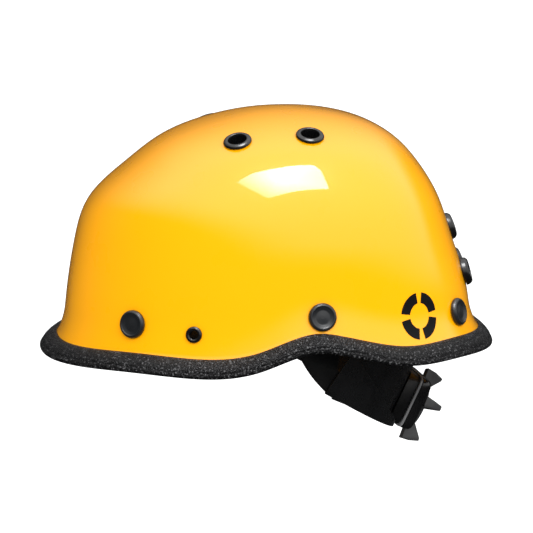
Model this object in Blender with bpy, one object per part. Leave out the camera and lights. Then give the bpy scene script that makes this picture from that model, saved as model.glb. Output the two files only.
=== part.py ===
"""Water rescue helmet as the pieces it comes apart into.

Metres, +Z up. The front faces -Y and the wearer's left side is at +X.
The origin lies on the centre line, in the shell's base plane.
"""

import math

import bmesh
import bpy
import numpy as np
from mathutils import Matrix, Vector

# --- driving dimensions -------------------------------------------------------

# Shell: rings run from 0 at the apex to 1 in the base plane.
SHELL_TOP = 0.1541
CROWN_Y = 0.0105
RINGS = (0.0, 0.2, 0.35, 0.5, 0.62, 0.75, 0.87, 1.0)
HALF_WIDTHS = (0.0, 0.046, 0.076, 0.096, 0.106, 0.111, 0.1126, 0.113)
FRONT_REACHES = (0.0, 0.0453, 0.0793, 0.1062, 0.1286, 0.1392, 0.1444, 0.1482)
REAR_REACHES = (0.0, 0.0465, 0.072, 0.0898, 0.1016, 0.111, 0.1206, 0.1242)
FRONT_POWER = 2.25
REAR_POWER = 2.5
WALL = 0.0025

# Rim: its height along the side, from the front tip (-1) to the rear tip (1).
RIM_STATIONS = (-1.0, -0.75, -0.5, -0.25, 0.0, 0.12, 0.3, 0.5, 0.75, 1.0)
RIM_HEIGHTS = (0.0035, 0.0065, 0.005, 0.009, 0.021, 0.0195, 0.014, 0.0095, 0.0105, 0.0085)
FLARE_HEIGHT = 0.030
FLARE_HEIGHT_END = 0.0187
FLARE_POWER = 2.2
FLARE_FRONT = 0.0036
FLARE_REAR = 0.005
FLARE_SIDE = 0.0035
BRIM_FRONT = math.radians(55)
BRIM_REAR = math.radians(45)
BRIM_SIDE = math.radians(35)
BRIM_GRIP = 0.008

# Edge trim: a rubber channel pushed on the brim.
TRIM_HALF = 0.0034
TRIM_NOSE = 0.0055
TRIM_STRETCH = 0.36

# Foam liner.
LINER_GAP = 0.0045
LINER_THICK = 0.012
LINER_LOW = 0.056

# Fasteners and vents, each as (plan angle in degrees, height).
CROWN_VENTS = {"front": (-31.0, 0.138), "rear": (3.0, 0.141)}
REAR_VENTS = {"upper": (85.2, 0.0718), "lower": (72.3, 0.0458)}
REAR_MIDDLE_VENT = (90.0, 0.046)
PLUGS = {"front": (-48.5, 0.024), "middle": (1.0, 0.031), "rear": (52.0, 0.024)}
EYELET = (-28.8, 0.020)

PLUG_RADIUS = 0.009
PLUG_SEAT = 0.0013
PLUG_HOLE = 0.0033
VENT_RADIUS = 0.0094
VENT_SEAT = 0.0012
VENT_BORE = 0.0066
VENT_HOLE = 0.0082
LINER_HOLE = 0.0105
EYELET_RADIUS = 0.0048
EYELET_SEAT = 0.0010
EYELET_BORE = 0.0026
EYELET_HOLE = 0.0036
HANGER_NEAR = -0.0068
HANGER_FAR = -0.0088

# Headband ring of the cradle.
BAND_HALF_WIDTH = 0.084
BAND_REACH = 0.108
BAND_THICK = 0.0016
BAND_END = math.radians(4)
BAND_LOW = 0.004
BAND_HIGH = 0.036
WEB_WIDTH = 0.020
WEB_THICK = 0.0012

# Nape harness: its own frame stands on the knob's axis, leaning back by NAPE_LEAN.
NAPE_CENTRE = Vector((0.0, 0.0929, -0.0474))
NAPE_LEAN = math.radians(25.6)
NAPE_MIDDLE = -0.0842
NAPE_HALF_WIDTH = 0.076
NAPE_REACH = 0.077
NAPE_POWER = 2.2
NAPE_LOW = -0.0125
NAPE_HIGH = 0.026
NAPE_FRONT = -0.0645
PIVOT = Vector((0.1032, 0.015, 0.031))
ARM_OFFSET = 0.003
WING_OFFSET = 0.0054
WING_FRONT = -0.069
WING_FALL = 0.107
WING_LEVEL_Y = -0.0447
WING_TIP_X = 0.035

# Ratchet adjuster.
CASE_HALF_WIDTH = 0.0285
CASE_HALF_HEIGHT = 0.0188
CASE_MIDDLE = 0.0020
KNOB_RADIUS = 0.0250
KNOB_FINS = 4
KNOB_TURN = math.radians(-15)
PINION_PITCH = 0.005
PINION_TEETH = 10
RACK_LENGTH = 0.028
RACK_TEETH_DEPTH = 0.0017

# Chin strap, tucked up into the shell.
TUCK_Y = -0.022
BUCKLE_HEIGHT = 0.086

RIM_SEGMENTS = 48
SHELL_ROWS = (0.10, 0.20, 0.30, 0.40, 0.50, 0.60, 0.69, 0.77, 0.84, 0.90, 0.95, 1.0)
ROUND = 12
GAP = 0.0003

# --- materials ----------------------------------------------------------------

FINISHES = {
    "shell_yellow": ((1.0, 0.60, 0.0), 0.12, 0.0),
    "trim_rubber": ((0.02, 0.02, 0.02), 0.6, 0.0),
    "foam": ((0.06, 0.06, 0.065), 0.9, 0.0),
    "black_plastic": ((0.015, 0.015, 0.017), 0.35, 0.0),
    "satin_plastic": ((0.06, 0.065, 0.07), 0.4, 0.0),
    "knob_grey": ((0.16, 0.16, 0.17), 0.45, 0.0),
    "light_strip": ((0.30, 0.30, 0.31), 0.4, 0.0),
    "webbing": ((0.02, 0.02, 0.022), 0.8, 0.0),
    "pad_fabric": ((0.03, 0.03, 0.033), 0.95, 0.0),
    "steel": ((0.55, 0.56, 0.58), 0.3, 1.0),
}


def make_material(name):
    colour, roughness, metallic = FINISHES[name]
    material = bpy.data.materials.new(name)
    material.use_nodes = True
    shader = material.node_tree.nodes["Principled BSDF"]
    shader.inputs["Base Color"].default_value = (*colour, 1.0)
    shader.inputs["Roughness"].default_value = roughness
    shader.inputs["Metallic"].default_value = metallic
    return material


def material_named(name):
    return bpy.data.materials.get(name) or make_material(name)


# --- curves and the shell's surface -------------------------------------------


class Smooth:
    """A natural cubic through the values at their stations."""

    def __init__(self, stations, values):
        self.at = np.array(stations, float)
        self.values = np.array(values, float)
        steps = np.diff(self.at)
        count = len(self.at)
        system = np.eye(count)
        right = np.zeros_like(self.values)
        for i in range(1, count - 1):
            system[i, i - 1:i + 2] = steps[i - 1], 2 * (steps[i - 1] + steps[i]), steps[i]
            rise_after = (self.values[i + 1] - self.values[i]) / steps[i]
            rise_before = (self.values[i] - self.values[i - 1]) / steps[i - 1]
            right[i] = 6 * (rise_after - rise_before)
        self.bends = np.linalg.solve(system, right)

    def __call__(self, x):
        i = int(np.clip(np.searchsorted(self.at, x) - 1, 0, len(self.at) - 2))
        step = self.at[i + 1] - self.at[i]
        before = (self.at[i + 1] - x) / step
        after = (x - self.at[i]) / step
        line = before * self.values[i] + after * self.values[i + 1]
        bend = (before**3 - before) * self.bends[i] + (after**3 - after) * self.bends[i + 1]
        return line + bend * step**2 / 6


half_width = Smooth(RINGS, HALF_WIDTHS)
front_reach = Smooth(RINGS, FRONT_REACHES)
rear_reach = Smooth(RINGS, REAR_REACHES)
rim_profile = Smooth(RIM_STATIONS, RIM_HEIGHTS)


def signed_power(value, power):
    return math.copysign(abs(value) ** power, value)


def plan_terms(angle):
    """Across and along shares of a plan angle, its outward direction and its reach curve."""
    front = math.sin(angle) < 0
    power = FRONT_POWER if front else REAR_POWER
    reach = front_reach if front else rear_reach
    across = signed_power(math.cos(angle), 2 / power)
    along = signed_power(math.sin(angle), 2 / power)
    outward = Vector((
        signed_power(math.cos(angle), 2 - 2 / power) / half_width(1.0),
        signed_power(math.sin(angle), 2 - 2 / power) / reach(1.0),
        0.0,
    ))
    return across, along, outward.normalized(), reach


def rim_height(angle):
    return float(rim_profile(plan_terms(angle)[1]))


def skin(angle, height):
    """The shell's outer surface at a plan angle and a height above the base plane."""
    across, along, outward, reach = plan_terms(angle)
    ring = math.sqrt(max(0.0, 1 - height / SHELL_TOP))
    reach_up = FLARE_HEIGHT + (FLARE_HEIGHT_END - FLARE_HEIGHT) * along**2
    near = min(max(1 - (height - float(rim_profile(along))) / reach_up, 0.0), 1.0)
    end = FLARE_FRONT if along < 0 else FLARE_REAR
    flare = (FLARE_SIDE + (end - FLARE_SIDE) * along**2) * near**FLARE_POWER
    flat = Vector((half_width(ring) * across, CROWN_Y + reach(ring) * along, height))
    return flat + outward * flare


def skin_normal(angle, height):
    turn = 1e-3
    rise = 5e-4
    low = max(height - rise, rim_height(angle))
    round_step = skin(angle + turn, height) - skin(angle - turn, height)
    up_step = skin(angle, min(height + rise, SHELL_TOP - rise)) - skin(angle, low)
    return round_step.cross(up_step).normalized()


def skin_frame(angle_degrees, height, mirrored=False):
    """A frame on the skin with Z along its outward normal and X level."""
    angle = math.radians(angle_degrees)
    point = skin(angle, height)
    normal = skin_normal(angle, height)
    if mirrored:
        point.x = -point.x
        normal.x = -normal.x
    level = Vector((0, 0, 1)).cross(normal).normalized()
    up = normal.cross(level)
    frame = Matrix((level, up, normal)).transposed().to_4x4()
    frame.translation = point
    return frame


def brim_directions(angle):
    """The brim's run from the wall to its edge, and its outward face direction."""
    _, along, outward, _ = plan_terms(angle)
    end = BRIM_FRONT if along < 0 else BRIM_REAR
    slope = BRIM_SIDE + (end - BRIM_SIDE) * along**2
    up = Vector((0, 0, 1))
    run = outward * math.sin(slope) - up * math.cos(slope)
    face = outward * math.cos(slope) + up * math.sin(slope)
    return run, face


# --- mesh tools ---------------------------------------------------------------


def loft(sections, around=False):
    """A closed mesh through equal loops of points; around=True joins the last loop to the first."""
    mesh = bmesh.new()
    loops = [[mesh.verts.new(point) for point in section] for section in sections]
    count = len(loops)
    size = len(loops[0])
    for i in range(count if around else count - 1):
        first = loops[i]
        second = loops[(i + 1) % count]
        for j in range(size):
            k = (j + 1) % size
            mesh.faces.new((first[j], first[k], second[k], second[j]))
    if not around:
        mesh.faces.new(loops[0])
        mesh.faces.new(list(reversed(loops[-1])))
    return mesh


def turned(profile, segments=ROUND, closed=False):
    """A solid of revolution about Z; its (radius, height) profile meets the axis or closes on itself."""
    mesh = bmesh.new()
    columns = []
    for i in range(segments):
        angle = math.tau * i / segments
        column = []
        for j, (radius, height) in enumerate(profile):
            if radius == 0 and i > 0:
                column.append(columns[0][j])
            else:
                point = (radius * math.cos(angle), radius * math.sin(angle), height)
                column.append(mesh.verts.new(point))
        columns.append(column)
    spans = len(profile) if closed else len(profile) - 1
    for i in range(segments):
        here = columns[i]
        there = columns[(i + 1) % segments]
        for j in range(spans):
            k = (j + 1) % len(profile)
            corners = []
            for corner in (here[j], there[j], there[k], here[k]):
                if corner not in corners:
                    corners.append(corner)
            mesh.faces.new(corners)
    return mesh


def extruded(outline, low, high):
    """A prism of an (x, y) outline between two heights."""
    return loft([[(x, y, low) for x, y in outline], [(x, y, high) for x, y in outline]])


def add(name, mesh, material, frame=None, parent=None):
    """Make an object of a mesh; frame places it in its parent's space."""
    bmesh.ops.recalc_face_normals(mesh, faces=mesh.faces)
    data = bpy.data.meshes.new(name)
    mesh.to_mesh(data)
    mesh.free()
    data.shade_smooth()
    data.set_sharp_from_angle(angle=math.radians(35))
    piece = bpy.data.objects.new(name, data)
    bpy.context.collection.objects.link(piece)
    if material:
        data.materials.append(material_named(material))
    if parent:
        piece.parent = parent
    if frame:
        piece.matrix_local = frame
    return piece


def add_empty(name, frame, parent=None):
    empty = bpy.data.objects.new(name, None)
    bpy.context.collection.objects.link(empty)
    empty.parent = parent
    empty.matrix_local = frame
    return empty


def add_tool(name, mesh, frame=None, parent=None):
    """A body that only cuts or joins others."""
    tool = add(name, mesh, None, frame, parent)
    tool.hide_render = True
    tool.display_type = "WIRE"
    return tool


def combine(piece, tool, operation):
    modifier = piece.modifiers.new(tool.name, "BOOLEAN")
    modifier.operation = operation
    modifier.object = tool
    modifier.solver = "EXACT"


def drill_mesh(frames, radius, low, high):
    """Cylinders along each frame's Z, all in one mesh."""
    mesh = bmesh.new()
    for frame in frames:
        hole = turned([(0, low), (radius, low), (radius, high), (0, high)])
        data = bpy.data.meshes.new("drill")
        hole.transform(frame)
        bmesh.ops.recalc_face_normals(hole, faces=hole.faces)
        hole.to_mesh(data)
        hole.free()
        mesh.from_mesh(data)
        bpy.data.meshes.remove(data)
    return mesh


def ribbon_mesh(points, sides, width, thickness, samples=14):
    """A flat strap of even section along a smooth path; sides gives its width direction at each point."""
    hops = [(Vector(b) - Vector(a)).length for a, b in zip(points, points[1:])]
    stations = np.concatenate(([0], np.cumsum(hops))) / sum(hops)
    path = Smooth(stations, [tuple(point) for point in points])
    across = Smooth(stations, [tuple(side) for side in sides])
    sections = []
    for at in np.linspace(0, 1, samples):
        before = Vector(path(max(at - 0.01, 0)))
        after = Vector(path(min(at + 0.01, 1)))
        along = (after - before).normalized()
        side = Vector(across(at))
        side = (side - along * side.dot(along)).normalized()
        face = along.cross(side)
        middle = Vector(path(at))
        wide = side * width / 2
        deep = face * thickness / 2
        sections.append([middle - wide - deep, middle + wide - deep, middle + wide + deep, middle - wide + deep])
    return loft(sections)


# --- shell, trim and liner ----------------------------------------------------


def shell_heights(angle):
    """Heights down one meridian, at fixed shares of its last ring number, closer at the flare."""
    last = math.sqrt(1 - rim_height(angle) / SHELL_TOP)
    return [SHELL_TOP * (1 - (last * share) ** 2) for share in SHELL_ROWS]


def make_shell():
    mesh = bmesh.new()
    top_out = mesh.verts.new((0, CROWN_Y, SHELL_TOP))
    top_in = mesh.verts.new((0, CROWN_Y, SHELL_TOP - WALL))
    columns = []
    for i in range(RIM_SEGMENTS):
        angle = math.tau * i / RIM_SEGMENTS
        outer = []
        inner = []
        for height in shell_heights(angle)[:-1]:
            point = skin(angle, height)
            outer.append(point)
            inner.append(point - skin_normal(angle, height) * WALL)
        run, face = brim_directions(angle)
        lip = skin(angle, rim_height(angle))
        for reach in (0.0, BRIM_GRIP):
            outer.append(lip + run * reach)
            inner.append(lip + run * reach - face * WALL)
        columns.append([mesh.verts.new(p) for p in outer + inner[::-1]])
    for i in range(RIM_SEGMENTS):
        here = columns[i]
        there = columns[(i + 1) % RIM_SEGMENTS]
        for j in range(len(here) - 1):
            mesh.faces.new((here[j], here[j + 1], there[j + 1], there[j]))
        mesh.faces.new((top_out, here[0], there[0]))
        mesh.faces.new((top_in, there[-1], here[-1]))
    shell = add("shell", mesh, "shell_yellow")
    vents = drill_mesh(vent_frames(), VENT_HOLE, -0.012, 0.006)
    plugs = drill_mesh(plug_frames().values(), PLUG_HOLE, -0.008, 0.005)
    eyelets = drill_mesh(eyelet_frames().values(), EYELET_HOLE, -0.008, 0.005)
    combine(shell, add_tool("vent_holes", vents), "DIFFERENCE")
    combine(shell, add_tool("plug_holes", plugs), "DIFFERENCE")
    combine(shell, add_tool("eyelet_holes", eyelets), "DIFFERENCE")


def make_trim():
    """The channel's section: a round nose past the brim's edge and two lips up the wall."""
    slot = WALL / 2 + GAP
    lip = GAP - BRIM_GRIP
    profile = [
        (lip, slot), (lip, slot + 0.0006), (lip + 0.0045, TRIM_HALF), (0.001, TRIM_HALF),
        (TRIM_NOSE, 0.0015), (TRIM_NOSE, -0.0015),
        (0.001, -TRIM_HALF), (lip + 0.0015, -TRIM_HALF), (lip, -TRIM_HALF + 0.001), (lip, -slot),
        (GAP, -slot), (GAP, slot),
    ]
    sections = []
    for i in range(RIM_SEGMENTS):
        angle = math.tau * i / RIM_SEGMENTS
        run, face = brim_directions(angle)
        edge = skin(angle, rim_height(angle)) + run * BRIM_GRIP - face * WALL / 2
        nose = 1 + TRIM_STRETCH * plan_terms(angle)[1] ** 2
        sections.append([edge + run * a * (nose if a > 0 else 1) + face * b for a, b in profile])
    add("edge_trim", loft(sections, around=True), "trim_rubber")


def make_liner():
    segments = 24
    rows = 5
    mesh = bmesh.new()
    top_out = mesh.verts.new((0, CROWN_Y, SHELL_TOP - LINER_GAP))
    top_in = mesh.verts.new((0, CROWN_Y, SHELL_TOP - LINER_GAP - LINER_THICK))
    last = math.sqrt(1 - LINER_LOW / SHELL_TOP)
    heights = [SHELL_TOP * (1 - (last * row / rows) ** 2) for row in range(1, rows + 1)]
    columns = []
    for i in range(segments):
        angle = math.tau * i / segments
        outer = [skin(angle, h) - skin_normal(angle, h) * LINER_GAP for h in heights]
        inner = [skin(angle, h) - skin_normal(angle, h) * (LINER_GAP + LINER_THICK) for h in heights]
        columns.append([mesh.verts.new(p) for p in outer + inner[::-1]])
    for i in range(segments):
        here = columns[i]
        there = columns[(i + 1) % segments]
        for j in range(len(here) - 1):
            mesh.faces.new((here[j], here[j + 1], there[j + 1], there[j]))
        mesh.faces.new((top_out, here[0], there[0]))
        mesh.faces.new((top_in, there[-1], here[-1]))
    liner = add("impact_liner", mesh, "foam")
    cut = drill_mesh(vent_frames(), LINER_HOLE, -0.030, -0.001)
    combine(liner, add_tool("liner_holes", cut), "DIFFERENCE")


# --- vents, plugs and eyelets ---------------------------------------------------


def mirrored_pairs(spots):
    """Frames for spots on the left side and their mirror images on the right."""
    frames = {}
    for name, (angle, height) in spots.items():
        frames[name + "_left"] = skin_frame(angle, height)
        frames[name + "_right"] = skin_frame(angle, height, mirrored=True)
    return frames


def crown_frames():
    return mirrored_pairs(CROWN_VENTS)


def rear_frames():
    frames = mirrored_pairs(REAR_VENTS)
    frames["middle"] = skin_frame(*REAR_MIDDLE_VENT)
    return frames


def vent_frames():
    return list(crown_frames().values()) + list(rear_frames().values())


def plug_frames():
    return mirrored_pairs(PLUGS)


def eyelet_frames():
    return mirrored_pairs({"eyelet": EYELET})


def make_vents():
    """Rolled grommets: a flange outside, a tube through the wall and a snap lip inside."""
    tube = VENT_HOLE - GAP
    profile = [
        (VENT_BORE, 0.0018), (VENT_BORE + 0.0008, 0.0034), (VENT_RADIUS - 0.0010, 0.0034),
        (VENT_RADIUS, 0.0020), (VENT_RADIUS, VENT_SEAT), (tube, VENT_SEAT), (tube, -0.0035),
        (tube + 0.0005, -0.0040), (VENT_BORE, -0.0044),
    ]
    for name, frame in crown_frames().items():
        add("crown_grommet_" + name, turned(profile, closed=True), "black_plastic", frame)
    for name, frame in rear_frames().items():
        add("rear_grommet_" + name, turned(profile, closed=True), "black_plastic", frame)


def make_plugs():
    """Dished caps with a shank through the wall, each held by a washer nut inside."""
    shank = PLUG_HOLE - GAP
    cap = [
        (0, 0.0034), (0.0056, 0.0034), (0.0068, 0.0042), (0.0082, 0.0040), (PLUG_RADIUS, 0.0026),
        (PLUG_RADIUS, PLUG_SEAT), (shank, PLUG_SEAT), (shank, -0.0080), (0, -0.0080),
    ]
    nut = [
        (PLUG_HOLE, -0.0040), (0.0078, -0.0040), (0.0078, -0.0050), (0.0060, HANGER_NEAR + GAP),
        (PLUG_HOLE, HANGER_NEAR + GAP),
    ]
    for name, frame in plug_frames().items():
        add("plug_cap_" + name, turned(cap), "black_plastic", frame)
        add("plug_nut_" + name, turned(nut, closed=True), "satin_plastic", frame)


def make_eyelets():
    tube = EYELET_HOLE - GAP
    profile = [
        (EYELET_BORE, 0.0014), (EYELET_BORE + 0.0006, 0.0021), (EYELET_RADIUS - 0.0006, 0.0019),
        (EYELET_RADIUS, EYELET_SEAT), (tube, EYELET_SEAT), (tube, -0.0034), (EYELET_BORE, -0.0034),
    ]
    for name, frame in eyelet_frames().items():
        add("drain_" + name, turned(profile, closed=True), "black_plastic", frame)


# --- head cradle ----------------------------------------------------------------


def band_point(turn, offset=0.0):
    """Plan point of the headband ring; turn runs from the left end round the brow."""
    x = (BAND_HALF_WIDTH + offset) * math.cos(turn)
    y = -(BAND_REACH + offset) * math.sin(turn)
    return x, y


def band_mesh(start, end, sections, inner, outer, edges):
    """A curved band between two offsets; edges(turn) gives its lower and upper heights."""
    loops = []
    for turn in np.linspace(start, end, sections):
        low, high = edges(turn)
        near = band_point(turn, inner)
        far = band_point(turn, outer)
        loops.append([(*near, low), (*far, low), (*far, high), (*near, high)])
    return loft(loops)


def make_headband():
    def edges(turn):
        rise = 0.005 * math.cos(turn) ** 2
        drop = 0.006 * math.cos(turn) ** 2
        return BAND_LOW + rise, BAND_HIGH - drop

    half = BAND_THICK / 2
    add("headband", band_mesh(BAND_END, math.pi - BAND_END, 25, -half, half, edges), "satin_plastic")


def make_sweatband():
    def edges(turn):
        return BAND_LOW + 0.002, BAND_HIGH - 0.003

    outer = -BAND_THICK / 2 - GAP * 2
    start = math.radians(28)
    mesh = band_mesh(start, math.pi - start, 15, outer - 0.005, outer, edges)
    add("brow_sweatband", mesh, "pad_fabric")


def distance_to_band(point, direction):
    """How far a ray runs level with the base plane before it meets the headband's outer face."""
    wide = BAND_HALF_WIDTH + BAND_THICK / 2 + GAP
    deep = BAND_REACH + BAND_THICK / 2 + GAP
    a = (direction.x / wide) ** 2 + (direction.y / deep) ** 2
    b = 2 * (point.x * direction.x / wide**2 + point.y * direction.y / deep**2)
    c = (point.x / wide) ** 2 + (point.y / deep) ** 2 - 1
    return (-b - math.sqrt(b * b - 4 * a * c)) / (2 * a)


def rectangle(half_wide, low, high, depth):
    return [(-half_wide, low, depth), (half_wide, low, depth), (half_wide, high, depth), (-half_wide, high, depth)]


def make_front_hangers():
    """A plate under the plug's nut with a beam to the headband; the crown strap hangs on its top."""
    for name, frame in plug_frames().items():
        if not name.startswith("front"):
            continue
        reach = distance_to_band(frame.translation, -frame.col[2].xyz)
        sections = [
            rectangle(0.011, -0.010, 0.026, HANGER_NEAR),
            rectangle(0.011, -0.010, 0.026, HANGER_FAR),
            rectangle(0.0075, -0.009, 0.004, HANGER_FAR - 0.0006),
            rectangle(0.006, -0.006, 0.004, -reach + 0.0022),
        ]
        hanger = add("cradle_hanger_" + name, loft(sections), "satin_plastic", frame)
        bore = drill_mesh([Matrix.Identity(4)], PLUG_HOLE, -0.0092, -0.005)
        combine(hanger, add_tool("hanger_bore_" + name, bore, frame), "DIFFERENCE")


def make_rear_hangers():
    """A plate under the plug's nut that takes the ends of the crown strap and the rear chin strap."""
    for name, frame in plug_frames().items():
        if not name.startswith("rear"):
            continue
        plate = loft([
            rectangle(0.011, -0.014, 0.026, HANGER_NEAR),
            rectangle(0.011, -0.014, 0.026, HANGER_FAR),
        ])
        hanger = add("cradle_hanger_" + name, plate, "satin_plastic", frame)
        bore = drill_mesh([Matrix.Identity(4)], PLUG_HOLE, -0.0100, -0.005)
        combine(hanger, add_tool("hanger_bore_" + name, bore, frame), "DIFFERENCE")


def make_temple_hangers():
    """A bar from the middle plug forward to the headband's end, outside the nape arm."""
    for side, name in ((1, "left"), (-1, "right")):
        x = PIVOT.x + 0.0023
        points = [
            (side * x, 0.024, PIVOT.z), (side * x, 0.006, PIVOT.z), (side * (x - 0.001), -0.006, 0.028),
            (side * 0.0990, -0.014, 0.024), (side * 0.0885, -0.0155, 0.022),
            (side * 0.0862, -0.0160, 0.022),
        ]
        sides = [(0, 0, 1)] * len(points)
        mesh = ribbon_mesh(points, sides, 0.014, 0.0018, samples=12)
        hanger = add("cradle_hanger_middle_" + name, mesh, "satin_plastic")
        along_x = Matrix.Translation((0, PIVOT.y, PIVOT.z - 0.0008)) @ Matrix.Rotation(math.pi / 2, 4, "Y")
        low, high = sorted((side * (x - 0.006), side * (x + 0.006)))
        bore = drill_mesh([along_x], 0.0045, low, high)
        combine(hanger, add_tool("temple_bore_" + name, bore), "DIFFERENCE")


def crown_strap_ends(front, rear):
    """Where a crown strap meets its two hangers, just inside their plates."""
    ends = []
    for frame in (front, rear):
        ends.append(frame @ Vector((0, 0.016, HANGER_FAR - 0.0020)))
    return ends


def make_crown_straps():
    frames = plug_frames()
    for order, (front_side, rear_side) in enumerate((("left", "right"), ("right", "left"))):
        front = frames["front_" + front_side]
        rear = frames["rear_" + rear_side]
        start, end = crown_strap_ends(front, rear)
        side = 1 if front_side == "left" else -1
        lift = order * 0.0024
        points = [
            start, (side * 0.058, -0.077, 0.062), (side * 0.040, -0.050, 0.095), (0.0, 0.004, 0.115 + lift),
            (side * -0.038, 0.064, 0.096), (side * -0.051, 0.0862, 0.064), end,
        ]
        level = Vector((start.y - end.y, end.x - start.x, 0)).normalized() * side
        first = front.col[0].xyz
        last = rear.col[0].xyz
        if first.dot(level) < 0:
            first = -first
        if last.dot(level) < 0:
            last = -last
        sides = [first] + [level] * 5 + [last]
        mesh = ribbon_mesh(points, sides, WEB_WIDTH, WEB_THICK, samples=17)
        add("crown_strap_" + front_side, mesh, "webbing")


# --- chin strap -----------------------------------------------------------------


def chin_path(side):
    """One half of the chin strap, from the headband up to the buckle."""
    return [
        (side * 0.0775, TUCK_Y, 0.026), (side * 0.0745, TUCK_Y, 0.044), (side * 0.066, TUCK_Y, 0.066),
        (side * 0.048, TUCK_Y, 0.081), (side * 0.029, TUCK_Y, BUCKLE_HEIGHT),
    ]


def make_chin_straps():
    """Each half rises from its side of the headband to the buckle, tucked up in the shell."""
    for side, name in ((1, "left"), (-1, "right")):
        mesh = ribbon_mesh(chin_path(side), [(0, 1, 0)] * 5, WEB_WIDTH, WEB_THICK, samples=12)
        add("chin_strap_" + name, mesh, "webbing")


def make_rear_straps():
    """The rear leg of each side's V, from the rear hanger forward to the slider."""
    frames = plug_frames()
    for side, name in ((1, "left"), (-1, "right")):
        frame = frames["rear_" + name]
        start = frame @ Vector((0, -0.005, HANGER_FAR - 0.0040))
        points = [
            start, (side * 0.066, 0.078, 0.026), (side * 0.070, 0.045, 0.034), (side * 0.071, 0.014, 0.045),
            (side * 0.0730, TUCK_Y + 0.0165, 0.050),
        ]
        sides = [(0, 0.15, 1), (side * -0.1, 0.1, 1), (side * -0.2, 0.2, 1), (side * -0.3, 0.3, 1),
                 (side * -0.4, 0.2, 0.9)]
        mesh = ribbon_mesh(points, sides, 0.015, WEB_THICK, samples=10)
        add("rear_strap_" + name, mesh, "webbing")


def slider_frame(side):
    """A frame on the chin strap between its second and third points: X across it, Z off its face."""
    _, low, high = chin_path(side)[:3]
    low = Vector(low)
    high = Vector(high)
    along = (high - low).normalized()
    across = Vector((0, 1, 0))
    off = across.cross(along)
    frame = Matrix((across, along, off)).transposed().to_4x4()
    frame.translation = (low + high) / 2 + off * side * 0.0008
    return frame


def make_sliders():
    """A three-bar slider round each chin strap: a plate with a slot that the webbing runs through."""
    for side, name in ((1, "left"), (-1, "right")):
        frame = slider_frame(side)
        body = loft([
            rectangle(0.0132, -0.009, 0.009, -0.0026),
            rectangle(0.0140, -0.010, 0.010, -0.0010),
            rectangle(0.0140, -0.010, 0.010, 0.0018),
            rectangle(0.0132, -0.009, 0.009, 0.0030),
        ])
        slider = add("strap_slider_" + name, body, "black_plastic", frame)
        slot = loft([rectangle(0.0108, -0.014, 0.014, -0.0014), rectangle(0.0108, -0.014, 0.014, 0.0016)])
        combine(slider, add_tool("slider_slot_" + name, slot, frame), "DIFFERENCE")


def make_buckle():
    """Side-release buckle: a socket that the plug's tongue and two prongs slide into."""
    middle = Matrix.Translation((0, TUCK_Y, BUCKLE_HEIGHT))
    socket_outline = [
        (-0.004, -0.012), (0.012, -0.013), (0.019, -0.0125), (0.0262, -0.011), (0.0262, 0.011),
        (0.019, 0.0125), (0.012, 0.013), (-0.004, 0.012),
    ]
    socket = add("buckle_socket", extruded(socket_outline, -0.0045, 0.0045), "black_plastic", middle)
    pocket = extruded([(-0.008, -0.0104), (0.0125, -0.0104), (0.0125, 0.0104), (-0.008, 0.0104)], -0.0030, 0.0030)
    combine(socket, add_tool("socket_pocket", pocket, middle), "DIFFERENCE")
    end_slot = extruded([(0.0225, -0.0106), (0.0300, -0.0106), (0.0300, 0.0106), (0.0225, 0.0106)], -0.0016, 0.0016)
    combine(socket, add_tool("socket_strap_slot", end_slot, middle), "DIFFERENCE")
    plug_outline = [
        (-0.0262, -0.011), (-0.0043, -0.012), (-0.0043, -0.0098), (0.0060, -0.0098), (0.0100, -0.0075),
        (0.0100, -0.0055), (-0.0010, -0.0055), (-0.0010, -0.0022), (0.0115, -0.0022), (0.0115, 0.0022),
        (-0.0010, 0.0022), (-0.0010, 0.0055), (0.0100, 0.0055), (0.0100, 0.0075), (0.0060, 0.0098),
        (-0.0043, 0.0098), (-0.0043, 0.012), (-0.0262, 0.011),
    ]
    plug = add("buckle_plug", extruded(plug_outline, -0.0026, 0.0026), "black_plastic", middle)
    tail_slot = extruded([(-0.0300, -0.0106), (-0.0225, -0.0106), (-0.0225, 0.0106), (-0.0300, 0.0106)], -0.0016, 0.0016)
    combine(plug, add_tool("plug_strap_slot", tail_slot, middle), "DIFFERENCE")


# --- nape harness -----------------------------------------------------------------


def nape_plan(turn, offset=0.0):
    """Plan point of the nape curve in its own frame; turn is 0 at the nape, +-90 degrees at the sides."""
    x = (NAPE_HALF_WIDTH + offset) * signed_power(math.sin(turn), 2 / NAPE_POWER)
    y = NAPE_MIDDLE + (NAPE_REACH + offset) * signed_power(math.cos(turn), 2 / NAPE_POWER)
    return x, y


def nape_turn_at_depth(y, offset):
    """The turn at which the curve has come forward to a depth."""
    share = (y - NAPE_MIDDLE) / (NAPE_REACH + offset)
    return math.acos(share ** (NAPE_POWER / 2))


def nape_turn_at_width(x, offset):
    share = x / (NAPE_HALF_WIDTH + offset)
    return math.asin(share ** (NAPE_POWER / 2))


def nape_strip(turns, middle, thick, edges):
    """A curved plate over a list of turns; edges(x, y) gives its lower and upper edges."""
    sections = []
    for turn in turns:
        low, high = edges(*nape_plan(turn, middle))
        near = nape_plan(turn, middle - thick / 2)
        far = nape_plan(turn, middle + thick / 2)
        sections.append([(*near, low), (*far, low), (*far, high), (*near, high)])
    return loft(sections)


def nape_root_frame():
    return Matrix.Translation(NAPE_CENTRE) @ Matrix.Rotation(-NAPE_LEAN, 4, "X")


def make_nape_band(parent):
    limit = nape_turn_at_depth(NAPE_FRONT, 0.0)
    turns = np.linspace(-limit, limit, 29)
    mesh = nape_strip(turns, 0.0, 0.0018, lambda x, y: (NAPE_LOW, NAPE_HIGH))
    add("nape_band", mesh, "satin_plastic", parent=parent)


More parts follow.
